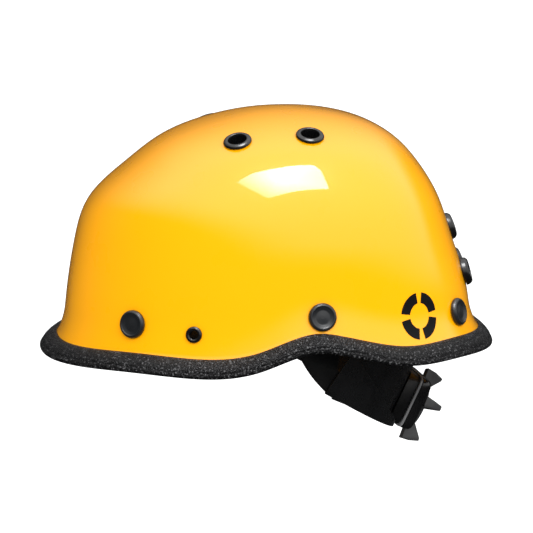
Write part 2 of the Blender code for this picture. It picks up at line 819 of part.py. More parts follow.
def make_nape_pad(parent):
    turns = np.linspace(-math.radians(42), math.radians(42), 11)
    mesh = nape_strip(turns, -0.0040, 0.0050, lambda x, y: (NAPE_LOW + 0.002, NAPE_HIGH - 0.008))
    add("nape_pad", mesh, "pad_fabric", parent=parent)


def wing_top(y):
    """The wing's upper edge: a straight line falling towards its rear tip."""
    return 0.0134 - 0.6 * (y + 0.0516)


def wing_bottom(y):
    """The wing's lower edge: it falls a little from the arm towards the adjuster."""
    return NAPE_LOW - 0.0005 - WING_FALL * (y - WING_LEVEL_Y)


def make_wings(parent):
    first = nape_turn_at_depth(WING_FRONT, WING_OFFSET)
    last = nape_turn_at_width(WING_TIP_X, WING_OFFSET)

    def edges(x, y):
        low = wing_bottom(y)
        return low, max(wing_top(y), low + 0.003)

    for side, name in ((1, "left"), (-1, "right")):
        turns = [side * turn for turn in np.linspace(first, last, 12)]
        add("nape_wing_" + name, nape_strip(turns, WING_OFFSET, 0.0020, edges), "satin_plastic", parent=parent)


def arm_spread(height):
    """How far the arm bends out from the nape curve to reach its pivot."""
    share = min(max((height - 0.006) / 0.022, 0.0), 1.0)
    return (PIVOT.x - NAPE_HALF_WIDTH - ARM_OFFSET) * share * share * (3 - 2 * share)


def make_arms(parent):
    """A side plate from under the wing up to its pivot at the middle plug."""
    pivot_depth = -0.1041
    pivot_height = 0.0370
    rows = [
        (-0.0105, -0.0690, -0.0620), (-0.0060, -0.0800, -0.0620), (0.0005, -0.0915, -0.0620),
        (0.0060, -0.0990, -0.0698), (0.0110, -0.1050, -0.0725), (0.0160, -0.1095, -0.0760),
        (0.0220, -0.1130, -0.0810), (0.0280, -0.1150, -0.0880), (pivot_height, -0.1155, -0.0925),
        (0.0430, -0.1135, -0.0950), (0.0475, -0.1080, -0.1000),
    ]
    for side, name in ((1, "left"), (-1, "right")):
        sections = []
        for height, front, rear in rows:
            spread = arm_spread(height)
            section = []
            for offset, depth in ((-0.001, front), (-0.001, rear), (0.001, rear), (0.001, front)):
                x = nape_side_width(depth, ARM_OFFSET + offset) + spread
                section.append((side * x, depth, height))
            sections.append(section)
        arm = add("nape_arm_" + name, loft(sections), "black_plastic", parent=parent)
        across = Matrix.Translation((0, pivot_depth, pivot_height)) @ Matrix.Rotation(math.pi / 2, 4, "Y")
        low, high = sorted((side * (PIVOT.x - 0.006), side * (PIVOT.x + 0.006)))
        bore = drill_mesh([across], 0.0031, low, high)
        combine(arm, add_tool("arm_bore_" + name, bore, parent=parent), "DIFFERENCE")


def nape_side_width(y, offset):
    """Half width of the nape curve at a depth, straight ahead of its widest place."""
    if y <= NAPE_MIDDLE:
        return NAPE_HALF_WIDTH + offset
    return nape_plan(nape_turn_at_depth(y, offset), offset)[0]


def make_pivot_pins():
    profile = [
        (0, -0.0034), (0.0050, -0.0034), (0.0060, -0.0026), (0.0060, -0.0014), (0.0028, -0.0014),
        (0.0028, 0.0018), (0, 0.0018),
    ]
    for side, name in ((1, "left"), (-1, "right")):
        frame = Matrix.Translation((side * PIVOT.x, PIVOT.y, PIVOT.z)) @ Matrix.Rotation(side * math.pi / 2, 4, "Y")
        add("pivot_pin_" + name, turned(profile), "steel", frame)


# --- ratchet adjuster ---------------------------------------------------------------


def case_outline(margin=0.0):
    """Rounded outline of the adjuster, as (x, height) points."""
    wide = CASE_HALF_WIDTH - margin
    tall = CASE_HALF_HEIGHT - margin
    outline = []
    for i in range(20):
        angle = math.tau * (i + 0.5) / 20
        x = wide * signed_power(math.cos(angle), 0.45)
        outline.append((x, CASE_MIDDLE + tall * signed_power(math.sin(angle), 0.30)))
    return outline


def case_slab(levels):
    """A slab of the adjuster's outline; levels are (margin, depth) from the nape outwards."""
    return loft([[(x, depth, z) for x, z in case_outline(margin)] for margin, depth in levels])


def make_ratchet_base(parent):
    """A saddle between the nape band's curve and the adjuster's flat back."""
    front = 0.0012
    sections = []
    for x in np.linspace(-CASE_HALF_WIDTH + 0.0015, CASE_HALF_WIDTH - 0.0015, 13):
        turn = nape_turn_at_width(abs(x), front)
        inner = nape_plan(turn, front)[1] + GAP
        share = min(abs(x) / CASE_HALF_WIDTH, 1.0)
        tall = (CASE_HALF_HEIGHT - 0.0006) * (1 - share**7) ** 0.25
        low = CASE_MIDDLE - tall
        high = CASE_MIDDLE + tall
        sections.append([(x, inner, low), (x, -0.0010, low), (x, -0.0010, high), (x, inner, high)])
    add("ratchet_base", loft(sections), "black_plastic", parent=parent)


def make_adjuster_plate(parent):
    add("adjuster_plate", case_slab([(0.0, -0.0007), (0.0, 0.0009)]), "light_strip", parent=parent)


def make_ratchet_housing(parent):
    levels = [(0.0004, 0.0012), (0.0, 0.0030), (0.0004, 0.0062), (0.0022, 0.0080), (0.0050, 0.0088)]
    housing = add("ratchet_housing", case_slab(levels), "black_plastic", parent=parent)
    half = CASE_HALF_WIDTH - 0.0020
    tall = 0.0112
    pocket = loft([
        [(-half, y, -tall), (half, y, -tall), (half, y, tall), (-half, y, tall)] for y in (-0.0010, 0.0064)
    ])
    combine(housing, add_tool("rack_pocket", pocket, parent=parent), "DIFFERENCE")
    bore = drill_mesh([knob_axis()], 0.0036, 0.0, 0.012)
    combine(housing, add_tool("shaft_bore", bore, parent=parent), "DIFFERENCE")


def knob_axis():
    """Turns local Z to point out of the nape, along the knob's axis."""
    return Matrix.Rotation(-math.pi / 2, 4, "X")


def make_click_spring(parent):
    """A flat ring with two sprung bumps that click under the knob."""
    segments = 24
    sections = []
    for i in range(segments):
        angle = math.tau * i / segments
        outer = 0.0092 + (0.0006 if i % 12 == 0 else 0.0)
        sections.append([
            (r * math.cos(angle), r * math.sin(angle), z)
            for r, z in ((0.0070, 0.0092), (outer, 0.0092), (outer, 0.0102), (0.0070, 0.0102))
        ])
    add("click_spring", loft(sections, around=True), "steel", knob_axis(), parent)


def make_knob(parent):
    """A hub with radial fins, hollow underneath for the click spring."""
    hub = [
        (0.0038, 0.0092), (0.0062, 0.0092), (0.0062, 0.0108), (0.0104, 0.0108), (0.0104, 0.0092),
        (0.0130, 0.0092), (0.0126, 0.0118), (0.0096, 0.0128), (0.0080, 0.0135), (0.0038, 0.0135),
    ]
    knob = add("ratchet_knob", turned(hub, 20, closed=True), "knob_grey", knob_axis(), parent)
    fin = [
        (0.0112, 0.0092), (KNOB_RADIUS, 0.0092), (KNOB_RADIUS - 0.0004, 0.0192),
        (KNOB_RADIUS - 0.0018, 0.0212), (KNOB_RADIUS - 0.0040, 0.0208), (0.0092, 0.0122),
        (0.0092, 0.0114), (0.0112, 0.0114),
    ]
    for i in range(KNOB_FINS):
        half_base = 0.0026
        flank = [[(r, side * half_base, z) for r, z in fin] for side in (-1, 1)]
        turn = Matrix.Rotation(math.pi / 2 + KNOB_TURN + math.tau * i / KNOB_FINS, 4, "Z")
        tool = add_tool("knob_fin_%d" % i, loft(flank), knob_axis() @ turn, parent)
        combine(knob, tool, "UNION")
    cap = turned([(0, 0.0110), (0.0045, 0.0110), (0.0045, 0.0146), (0.0036, 0.0150), (0, 0.0150)], 16)
    combine(knob, add_tool("knob_cap", cap, knob_axis(), parent), "UNION")


def gear_outline(teeth, root, tip, share):
    """A plain gear: each tooth is a trapezoid that fills share of its pitch at the root."""
    outline = []
    pitch = math.tau / teeth
    for i in range(teeth):
        middle = i * pitch
        for radius, offset in ((root, -share / 2), (tip, -share / 5), (tip, share / 5), (root, share / 2)):
            angle = middle + offset * pitch
            outline.append((radius * math.cos(angle), radius * math.sin(angle)))
    return outline


def make_pinion(parent):
    gear = gear_outline(PINION_TEETH, 0.0040, 0.0058, 0.56)
    pinion = add("ratchet_pinion", extruded(gear, 0.0018, 0.0058), "satin_plastic", knob_axis(), parent)
    shaft = turned([(0, 0.0030), (0.0033, 0.0030), (0.0033, 0.0106), (0, 0.0106)])
    combine(pinion, add_tool("pinion_shaft", shaft, knob_axis(), parent), "UNION")


def make_rack(name, side, parent):
    """A toothed bar beside the pinion; side is 1 above it and -1 below."""
    pitch = math.tau * PINION_PITCH / PINION_TEETH
    tips = 0.0043
    roots = tips + RACK_TEETH_DEPTH
    back = 0.0100
    start = -0.0030
    end = start + RACK_LENGTH
    outline = [(start, back)]
    count = int(RACK_LENGTH / pitch)
    for i in range(count):
        middle = i * pitch
        for offset, height in ((-0.26, roots), (-0.10, tips), (0.10, tips), (0.26, roots)):
            outline.append((middle + offset * pitch, height))
    outline = [point for point in outline if point[0] >= start]
    outline.append((end, roots))
    outline.append((end, back))
    points = [(side * x, side * z) for x, z in outline]
    mesh = loft([[(x, y, z) for x, z in points] for y in (0.0018, 0.0056)])
    add(name, mesh, "satin_plastic", parent=parent)


# --- assembly -----------------------------------------------------------------------


def clear_scene():
    for item in list(bpy.data.objects):
        bpy.data.objects.remove(item, do_unlink=True)


def build():
    clear_scene()
    make_shell()
    make_trim()
    make_liner()
    make_vents()
    make_plugs()
    make_eyelets()
    make_headband()
    make_sweatband()
    make_front_hangers()
    make_rear_hangers()
    make_temple_hangers()
    make_crown_straps()
    make_chin_straps()
    make_rear_straps()
    make_sliders()
    make_buckle()
    make_pivot_pins()
    nape = add_empty("nape_frame", nape_root_frame())
    make_arms(nape)
    make_wings(nape)
    make_nape_band(nape)
    make_nape_pad(nape)
    make_ratchet_base(nape)
    make_adjuster_plate(nape)
    make_ratchet_housing(nape)
    make_click_spring(nape)
    make_knob(nape)
    make_pinion(nape)
    make_rack("rack_upper", 1, nape)
    make_rack("rack_lower", -1, nape)


build()
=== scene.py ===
"""The water rescue helmet's looks: fine surfaces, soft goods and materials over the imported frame."""

from math import acos, asin, atan2, copysign, cos, exp, hypot, pi, radians, sin, sqrt, tan, tau

import bmesh
import bpy
import numpy as np
from mathutils import Matrix, Vector
from mathutils.bvhtree import BVHTree


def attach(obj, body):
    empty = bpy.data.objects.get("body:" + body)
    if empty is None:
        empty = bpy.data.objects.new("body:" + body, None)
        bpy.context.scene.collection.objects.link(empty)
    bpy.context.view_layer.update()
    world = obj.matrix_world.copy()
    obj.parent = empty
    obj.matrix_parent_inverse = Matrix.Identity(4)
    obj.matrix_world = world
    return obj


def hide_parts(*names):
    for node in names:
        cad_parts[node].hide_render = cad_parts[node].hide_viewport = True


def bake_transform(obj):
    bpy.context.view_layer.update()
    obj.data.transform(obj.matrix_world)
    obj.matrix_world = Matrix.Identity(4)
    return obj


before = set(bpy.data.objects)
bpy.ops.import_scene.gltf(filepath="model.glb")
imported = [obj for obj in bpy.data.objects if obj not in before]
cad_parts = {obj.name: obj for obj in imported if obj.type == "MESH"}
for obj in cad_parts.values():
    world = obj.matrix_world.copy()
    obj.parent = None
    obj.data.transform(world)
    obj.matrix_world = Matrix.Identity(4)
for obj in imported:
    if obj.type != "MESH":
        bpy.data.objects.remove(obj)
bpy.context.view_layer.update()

# --- the frame's own dimensions, repeated ---

SHELL_TOP = 0.1541
CROWN_Y = 0.0105
RINGS = (0.0, 0.2, 0.35, 0.5, 0.62, 0.75, 0.87, 1.0)
HALF_WIDTHS = (0.0, 0.046, 0.076, 0.096, 0.106, 0.111, 0.1126, 0.113)
FRONT_REACHES = (0.0, 0.0453, 0.0793, 0.1062, 0.1286, 0.1392, 0.1444, 0.1482)
REAR_REACHES = (0.0, 0.0465, 0.072, 0.0898, 0.1016, 0.111, 0.1206, 0.1242)
FRONT_POWER = 2.25
REAR_POWER = 2.5
WALL = 0.0025
RIM_STATIONS = (-1.0, -0.75, -0.5, -0.25, 0.0, 0.12, 0.3, 0.5, 0.75, 1.0)
RIM_HEIGHTS = (0.0035, 0.0065, 0.005, 0.009, 0.021, 0.0195, 0.014, 0.0095, 0.0105, 0.0085)
FLARE_HEIGHT = 0.03
FLARE_HEIGHT_END = 0.0187
FLARE_POWER = 2.2
FLARE_FRONT = 0.0036
FLARE_REAR = 0.005
FLARE_SIDE = 0.0035
BRIM_FRONT = radians(55)
BRIM_REAR = radians(45)
BRIM_SIDE = radians(35)
BRIM_GRIP = 0.008
TRIM_HALF = 0.0034
TRIM_NOSE = 0.0055
TRIM_STRETCH = 0.36
LINER_GAP = 0.0045
LINER_THICK = 0.012
LINER_LOW = 0.056
GAP = 0.0003

CROWN_VENTS = {"front": (-31.0, 0.138), "rear": (3.0, 0.141)}
REAR_VENTS = {"upper": (85.2, 0.0718), "lower": (72.3, 0.0458)}
REAR_MIDDLE_VENT = (90.0, 0.046)
PLUGS = {"front": (-47.6, 0.024), "middle": (1.0, 0.031), "rear": (52.0, 0.0248)}
EYELET = (-28.3, 0.02)
HANGER_NEAR = -0.0068
HANGER_FAR = -0.0088

BAND_HALF_WIDTH = 0.084
BAND_REACH = 0.108
BAND_THICK = 0.0016
BAND_END = radians(4)
BAND_LOW = 0.004
BAND_HIGH = 0.036
WEB_WIDTH = 0.02
REAR_WEB_WIDTH = 0.015
WEB_THICK = 0.0012
PAD_VOXEL = 0.0016
PAD_SWELL = 0.0012
PAD_PRESSURE = 4.0
PAD_FRAMES = 20
CHANNEL_DEPTH = 0.0011
STITCH_PITCH = 0.0026
STITCH_LENGTH = 0.0018
TUCK_Y = -0.022
BUCKLE_HEIGHT = 0.086
PIVOT = Vector((0.1032, 0.015, 0.031))

NAPE_CENTRE = Vector((0.0, 0.0929, -0.0474))
NAPE_LEAN = radians(25.6)
NAPE_MIDDLE = -0.0842
NAPE_HALF_WIDTH = 0.076
NAPE_REACH = 0.077
NAPE_POWER = 2.2
NAPE_LOW = -0.0125
NAPE_HIGH = 0.026
NAPE_FRONT = -0.0645
ARM_OFFSET = 0.003
WING_OFFSET = 0.0054
WING_FRONT = -0.069
WING_FALL = 0.107
WING_TIP_X = 0.035
WING_RAKE = 0.17
CASE_HALF_WIDTH = 0.0285
CASE_HALF_HEIGHT = 0.0188
CASE_STEPS = 96
CASE_MIDDLE = 0.002
KNOB_RADIUS = 0.025
KNOB_FINS = 4
FIN_HALF = 0.0038
FIN_TAPER = 0.16
KNOB_TURN = radians(-15)

SIDES = ((1, "left"), (-1, "right"))

WORLD_LEVEL = 1.12
FRONT_DROP = 0.14
CAMERA_LEVEL = 1.2
FLOOR_HEIGHT = -0.42
KEY_PLACE = Vector((2.2, 0.3, 1.5))
KEY_WATTS = 50
DOME_REST = 0.03
WINDOW_GLOW = 24.0
WINDOW = (
    (0.544, -0.461, 1.48, 0.25), (0.442, -0.235, 1.563, 0.7), (0.409, -0.015, 1.589, 1.0), (0.346, 0.181, 1.592, 1.0),
    (0.316, 0.308, 1.578, 0.9), (0.483, 0.36, 1.529, 0.8), (0.739, 0.393, 1.42, 0.7), (0.959, 0.428, 1.271, 0.7),
    (1.003, 0.276, 1.278, 0.65), (1.061, 0.096, 1.256, 0.6), (1.12, -0.11, 1.202, 0.3), (1.059, -0.174, 1.249, 0.25),
    (0.828, -0.325, 1.386, 0.25),
)

# --- materials ---


def add_node(tree, kind, inputs, operation=None):
    """A shader node; each input is a value or a link."""
    node = tree.nodes.new("ShaderNode" + kind)
    if operation:
        node.operation = operation
    for name, value in inputs.items():
        if isinstance(value, bpy.types.NodeSocket):
            tree.links.new(value, node.inputs[name])
        elif value is not None:
            node.inputs[name].default_value = value
    return node


def new_material(name, colour, roughness, metallic=0.0, coat=0.0, coat_roughness=0.05, sheen=0.0, specular=0.5):
    material = bpy.data.materials.new(name)
    material.use_nodes = True
    shader = material.node_tree.nodes["Principled BSDF"]
    values = {
        "Base Color": (*colour, 1), "Roughness": roughness, "Metallic": metallic, "Coat Weight": coat,
        "Coat Roughness": coat_roughness, "Sheen Weight": sheen, "Specular IOR Level": specular,
    }
    for key, value in values.items():
        shader.inputs[key].default_value = value
    return material


def coordinates(tree, kind="Object"):
    return tree.nodes.new("ShaderNodeTexCoord").outputs[kind]


def noise(m, scale, detail=3.0):
    tree = m.node_tree
    return add_node(tree, "TexNoise", {"Scale": scale, "Detail": detail, "Vector": coordinates(tree)}).outputs["Fac"]


def cells(m, scale, smooth=False):
    tree = m.node_tree
    node = add_node(tree, "TexVoronoi", {"Scale": scale, "Vector": coordinates(tree)})
    if smooth:
        node.feature = "SMOOTH_F1"
    return node.outputs["Distance"]


def ramp(m, fac, stops):
    """A colour ramp; stops are (position, colour)."""
    node = add_node(m.node_tree, "ValToRGB", {"Fac": fac})
    elements = node.color_ramp.elements
    for element, (position, colour) in zip((elements[0], elements[1]), (stops[0], stops[-1])):
        element.position = position
        element.color = (*colour, 1)
    for position, colour in stops[1:-1]:
        elements.new(position).color = (*colour, 1)
    return node.outputs["Color"]


def spread(m, fac, low, high, from_low=0.3, from_high=0.7):
    values = {"From Min": from_low, "From Max": from_high, "To Min": low, "To Max": high, "Value": fac}
    return add_node(m.node_tree, "MapRange", values).outputs["Result"]


def maths(tree, kind, a, b=None):
    return add_node(tree, "Math", {0: a, 1: b}, kind).outputs[0]


def bump(m, height, strength, distance, base=None):
    values = {"Strength": strength, "Distance": distance, "Height": height, "Normal": base}
    return add_node(m.node_tree, "Bump", values).outputs["Normal"]


def into(m, name, socket):
    m.node_tree.links.new(socket, m.node_tree.nodes["Principled BSDF"].inputs[name])


def tint(colour, factor):
    return tuple(min(c * factor, 1.0) for c in colour)


def gelcoat(name, dark, light):
    """Glossy moulded shell: slow colour drift, faint orange peel."""
    m = new_material(name, light, 0.3, coat=1.0, coat_roughness=0.03, specular=0.05)
    into(m, "Base Color", ramp(m, noise(m, 9.0, 2.0), [(0.3, dark), (0.7, light)]))
    into(m, "Roughness", spread(m, noise(m, 40.0), 0.25, 0.35))
    peel = bump(m, noise(m, 150.0, 1.0), 0.02, 0.0004)
    into(m, "Normal", peel)
    return m


def rubber_grain_and_painted_sparkle(name):
    """Black rubber with a pebble grain, and painted sparkle: light grey specks in the base colour stand in for glints
    of light off the grain.
    """
    m = new_material(name, (0.006, 0.006, 0.0065), 0.42, specular=0.16)
    # painted highlight: noise peaks turn the black base colour light grey, sparkle specks that stand in for glints of
    # light on the grain
    into(m, "Base Color", ramp(m, noise(m, 760.0, 2.0), [
        (0.38, (0.0015, 0.0015, 0.0018)), (0.58, (0.006, 0.006, 0.0065)), (0.7, (0.11, 0.11, 0.113)),
    ]))
    into(m, "Roughness", spread(m, noise(m, 900.0, 2.0), 0.24, 0.52))
    pebbles = bump(m, cells(m, 1500.0, smooth=True), 1.0, 0.0006)
    folds = bump(m, noise(m, 800.0, 4.0), 0.5, 0.0004, pebbles)
    into(m, "Normal", folds)
    return m


def moulded(name, colour, roughness, grain=0.12, scale=1400.0, specular=0.5):
    """Moulded plastic with a fine even texture and faint flow marks."""
    m = new_material(name, colour, roughness, coat_roughness=0.08, specular=specular)
    into(m, "Base Color", ramp(m, noise(m, 60.0), [(0.35, tint(colour, 0.82)), (0.65, tint(colour, 1.15))]))
    into(m, "Roughness", spread(m, noise(m, 180.0), roughness * 0.85, roughness * 1.2))
    into(m, "Normal", bump(m, noise(m, scale, 2.0), grain, 0.0002))
    return m


def webbing(name, colour):
    """Flat woven strap; its UVs are metres along and across. Its colour carries painted shade in the weave's valleys
    and a painted highlight on its raised yarns.
    """
    m = new_material(name, colour, 0.75, sheen=0.35)
    tree = m.node_tree
    split = add_node(tree, "SeparateXYZ", {0: coordinates(tree, "UV")})
    ribs = maths(tree, "SINE", maths(tree, "MULTIPLY", split.outputs["Y"], tau / 0.0016))
    half_yarn = maths(tree, "MULTIPLY", maths(tree, "SIGN", ribs), pi / 2)
    along = maths(tree, "MULTIPLY", split.outputs["X"], tau / 0.0011)
    yarns = maths(tree, "SINE", maths(tree, "ADD", along, half_yarn))
    height = maths(tree, "ADD", maths(tree, "ABSOLUTE", ribs), maths(tree, "MULTIPLY", yarns, 0.45))
    weave_shade_and_highlight = spread(m, height, 0.0, 1.0, -0.3, 1.3)
    # painted shade and highlight: the base colour follows the bump height, dark in the low valleys and bright on the
    # raised yarns
    into(m, "Base Color", ramp(m, weave_shade_and_highlight, [(0.0, tint(colour, 0.45)), (1.0, tint(colour, 1.8))]))
    into(m, "Roughness", spread(m, noise(m, 900.0), 0.6, 0.9))
    into(m, "Normal", bump(m, height, 0.8, 0.0003))
    return m


def knit(name, colour):
    """Brushed knit over foam."""
    m = new_material(name, colour, 0.95, sheen=0.6)
    loops = cells(m, 950.0, smooth=True)
    into(m, "Base Color", ramp(m, loops, [(0.1, tint(colour, 1.7)), (0.75, tint(colour, 0.6))]))
    into(m, "Roughness", spread(m, noise(m, 400.0), 0.85, 1.0))
    into(m, "Normal", bump(m, noise(m, 260.0, 3.0), 0.3, 0.0006, bump(m, loops, 0.8, 0.0005)))
    return m


def closed_foam(name, colour):
    m = new_material(name, colour, 0.9)
    into(m, "Base Color", ramp(m, noise(m, 220.0, 4.0), [(0.35, tint(colour, 0.7)), (0.7, tint(colour, 1.3))]))
    into(m, "Roughness", spread(m, noise(m, 90.0), 0.8, 0.98))
    into(m, "Normal", bump(m, cells(m, 520.0), 0.45, 0.0005))
    return m


def brushed_metal(name, colour, roughness):
    m = new_material(name, colour, roughness, metallic=1.0)
    into(m, "Roughness", spread(m, noise(m, 600.0), roughness * 0.7, roughness * 1.4))
    into(m, "Normal", bump(m, noise(m, 1500.0, 1.0), 0.08, 0.0002))
    return m


YELLOW = gelcoat("shell_gelcoat", (0.96, 0.392, 0.0), (0.97, 0.402, 0.0))
RUBBER = rubber_grain_and_painted_sparkle("trim_grain_painted_sparkle")
GLOSS_BLACK = moulded("gloss_black", (0.004, 0.004, 0.0045), 0.24, grain=0.03)
CAP_BLACK = moulded("cap_black", (0.009, 0.01, 0.0115), 0.34, grain=0.04)
SATIN = moulded("satin_black", (0.0045, 0.0047, 0.0051), 0.27, grain=0.02, specular=0.38)
ARM_BLACK = moulded("arm_black", (0.003, 0.0031, 0.0033), 0.36, grain=0.05, specular=0.35)
KNOB_GREY = moulded("knob_grey_texture", (0.034, 0.0345, 0.0355), 0.4, grain=0.12)
STRIP_GREY = moulded("strip_grey", (0.12, 0.12, 0.124), 0.35, grain=0.05)
WHITE_NYLON = moulded("nylon_grey", (0.045, 0.046, 0.048), 0.4, grain=0.08)
WEB = webbing("black_webbing", (0.016, 0.016, 0.018))
PAD = knit("pad_knit", (0.022, 0.022, 0.025))
FOAM = closed_foam("liner_foam_cells", (0.045, 0.046, 0.05))
STEEL = brushed_metal("pin_steel", (0.55, 0.56, 0.58), 0.3)
THREAD = moulded("thread", (0.05, 0.05, 0.055), 0.7, grain=0.3, scale=3000.0)
INK = moulded("decal_ink", (0.003, 0.003, 0.0034), 0.4, grain=0.02, specular=0.14)

# --- the shell's surface ---


class Smooth:
    """A natural cubic through the values at their stations."""

    def __init__(self, stations, values):
        self.at = np.array(stations, float)
        self.values = np.array(values, float)
        steps = np.diff(self.at)
        count = len(self.at)
        system = np.eye(count)
        right = np.zeros_like(self.values)
        for i in range(1, count - 1):
            system[i, i - 1:i + 2] = steps[i - 1], 2 * (steps[i - 1] + steps[i]), steps[i]
            rise_after = (self.values[i + 1] - self.values[i]) / steps[i]
            rise_before = (self.values[i] - self.values[i - 1]) / steps[i - 1]
            right[i] = 6 * (rise_after - rise_before)
        self.bends = np.linalg.solve(system, right)

    def __call__(self, x):
        i = int(np.clip(np.searchsorted(self.at, x) - 1, 0, len(self.at) - 2))
        step = self.at[i + 1] - self.at[i]
        before = (self.at[i + 1] - x) / step
        after = (x - self.at[i]) / step
        line = before * self.values[i] + after * self.values[i + 1]
        bend = (before**3 - before) * self.bends[i] + (after**3 - after) * self.bends[i + 1]
        return line + bend * step**2 / 6


half_width = Smooth(RINGS, HALF_WIDTHS)
front_reach = Smooth(RINGS, FRONT_REACHES)
rear_reach = Smooth(RINGS, REAR_REACHES)
rim_profile = Smooth(RIM_STATIONS, RIM_HEIGHTS)


def signed_power(value, power):
    return copysign(abs(value) ** power, value)


def plan_terms(angle):
    front = sin(angle) < 0
    power = FRONT_POWER if front else REAR_POWER
    reach = front_reach if front else rear_reach
    across = signed_power(cos(angle), 2 / power)
    along = signed_power(sin(angle), 2 / power)
    outward = Vector((
        signed_power(cos(angle), 2 - 2 / power) / half_width(1.0),
        signed_power(sin(angle), 2 - 2 / power) / reach(1.0),
        0.0,
    ))
    return across, along, outward.normalized(), reach


def rim_height(angle):
    return float(rim_profile(plan_terms(angle)[1]))


def skin(angle, height):
    across, along, outward, reach = plan_terms(angle)
    ring = sqrt(max(0.0, 1 - height / SHELL_TOP))
    reach_up = FLARE_HEIGHT + (FLARE_HEIGHT_END - FLARE_HEIGHT) * along**2
    near = min(max(1 - (height - float(rim_profile(along))) / reach_up, 0.0), 1.0)
    end = FLARE_FRONT if along < 0 else FLARE_REAR
    flare = (FLARE_SIDE + (end - FLARE_SIDE) * along**2) * near**FLARE_POWER
    flat = Vector((half_width(ring) * across, CROWN_Y + reach(ring) * along, height))
    return flat + outward * flare


def skin_normal(angle, height):
    turn = 1e-3
    rise = 5e-4
    low = max(height - rise, rim_height(angle))
    round_step = skin(angle + turn, height) - skin(angle - turn, height)
    up_step = skin(angle, min(height + rise, SHELL_TOP - rise)) - skin(angle, low)
    return round_step.cross(up_step).normalized()


def skin_frame(angle_degrees, height, mirrored=False):
    angle = radians(angle_degrees)
    point = skin(angle, height)
    normal = skin_normal(angle, height)
    if mirrored:
        point.x = -point.x
        normal.x = -normal.x
    level = Vector((0, 0, 1)).cross(normal).normalized()
    up = normal.cross(level)
    spot = Matrix((level, up, normal)).transposed().to_4x4()
    spot.translation = point
    return spot


def brim_directions(angle):
    _, along, outward, _ = plan_terms(angle)
    end = BRIM_FRONT if along < 0 else BRIM_REAR
    slope = BRIM_SIDE + (end - BRIM_SIDE) * along**2
    up = Vector((0, 0, 1))
    run = outward * sin(slope) - up * cos(slope)
    face = outward * cos(slope) + up * sin(slope)
    return run, face


# --- mesh tools ---


def mesh_data(mesh, name):
    data = bpy.data.meshes.new(name)
    mesh.to_mesh(data)
    mesh.free()
    return data


def new_object(name, data):
    item = bpy.data.objects.new(name, data)
    bpy.context.scene.collection.objects.link(item)
    return item


def shade(data, degrees=40):
    data.shade_smooth()
    data.set_sharp_from_angle(angle=radians(degrees))


def piece(name, mesh, material, body, nodes=(), place=None, degrees=40):
    """An object of a bmesh that rides on a body and stands for some nodes."""
    bmesh.ops.recalc_face_normals(mesh, faces=mesh.faces)
    data = mesh_data(mesh, name)
    if place is not None:
        data.transform(place)
        if place.determinant() < 0:
            data.flip_normals()
    shade(data, degrees)
    data.materials.append(material)
    item = new_object(name, data)
    if body:
        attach(item, body)
    if nodes:
        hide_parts(*nodes)
    return item


def settle(item, degrees=40):
    """Apply an object's modifiers to its mesh."""
    depsgraph = bpy.context.evaluated_depsgraph_get()
    data = bpy.data.meshes.new_from_object(item.evaluated_get(depsgraph), depsgraph=depsgraph)
    item.modifiers.clear()
    item.data = data
    shade(data, degrees)
    return item


def bevelled(item, width, segments, degrees):
    modifier = item.modifiers.new("edges", "BEVEL")
    modifier.width = width
    modifier.segments = segments
    modifier.limit_method = "ANGLE"
    modifier.angle_limit = radians(degrees)
    modifier.use_clamp_overlap = True
    return settle(item)


def cut(item, meshes, operation="DIFFERENCE"):
    """Boolean an object with loose meshes, one after another."""
    for mesh in meshes:
        bmesh.ops.recalc_face_normals(mesh, faces=mesh.faces)
        tool = new_object("tool", mesh_data(mesh, "tool"))
        modifier = item.modifiers.new("cut", "BOOLEAN")
        modifier.operation = operation
        modifier.object = tool
        modifier.solver = "EXACT"
        settle(item)
        bpy.data.objects.remove(tool, do_unlink=True)
    return item


def loft(sections, around=False):
    mesh = bmesh.new()
    loops = [[mesh.verts.new(point) for point in section] for section in sections]
    count = len(loops)
    size = len(loops[0])
    for i in range(count if around else count - 1):
        first = loops[i]
        second = loops[(i + 1) % count]
        for j in range(size):
            k = (j + 1) % size
            mesh.faces.new((first[j], first[k], second[k], second[j]))
    if not around:
        mesh.faces.new(loops[0])
        mesh.faces.new(list(reversed(loops[-1])))
    return mesh


def turned(profile, segments=64, closed=False):
    mesh = bmesh.new()
    columns = []
    for i in range(segments):
        angle = tau * i / segments
        column = []
        for j, (radius, height) in enumerate(profile):
            if radius == 0 and i > 0:
                column.append(columns[0][j])
            else:
                column.append(mesh.verts.new((radius * cos(angle), radius * sin(angle), height)))
        columns.append(column)
    spans = len(profile) if closed else len(profile) - 1
    for i in range(segments):
        here = columns[i]
        there = columns[(i + 1) % segments]
        for j in range(spans):
            k = (j + 1) % len(profile)
            corners = []
            for corner in (here[j], there[j], there[k], here[k]):
                if corner not in corners:
                    corners.append(corner)
            mesh.faces.new(corners)
    return mesh


def mm(points):
    """Points given in millimetres, as metres."""
    return [tuple(round(number / 1000, 7) for number in point) for point in points]


def rounded(points, radius, closed=True, steps=5):
    """A polygon's corners turned to arcs; radius is one size or one for each point."""
    result = []
    count = len(points)
    for i, point in enumerate(points):
        size = radius[i] if isinstance(radius, (list, tuple)) else radius
        here = Vector(point)
        if size == 0 or (not closed and i in (0, count - 1)):
            result.append(tuple(here))
            continue
        back = Vector(points[i - 1]) - here
        ahead = Vector(points[(i + 1) % count]) - here
        angle = back.angle(ahead)
        if angle > radians(176):
            result.append(tuple(here))
            continue
        reach = min(size / tan(angle / 2), back.length * 0.48, ahead.length * 0.48)
        start = here + back.normalized() * reach
        end = here + ahead.normalized() * reach
        for step in range(steps + 1):
            t = step / steps
            result.append(tuple(start * (1 - t) ** 2 + here * 2 * t * (1 - t) + end * t * t))
    return result


def extruded(outline, low, high):
    return loft([[(x, y, low) for x, y in outline], [(x, y, high) for x, y in outline]])


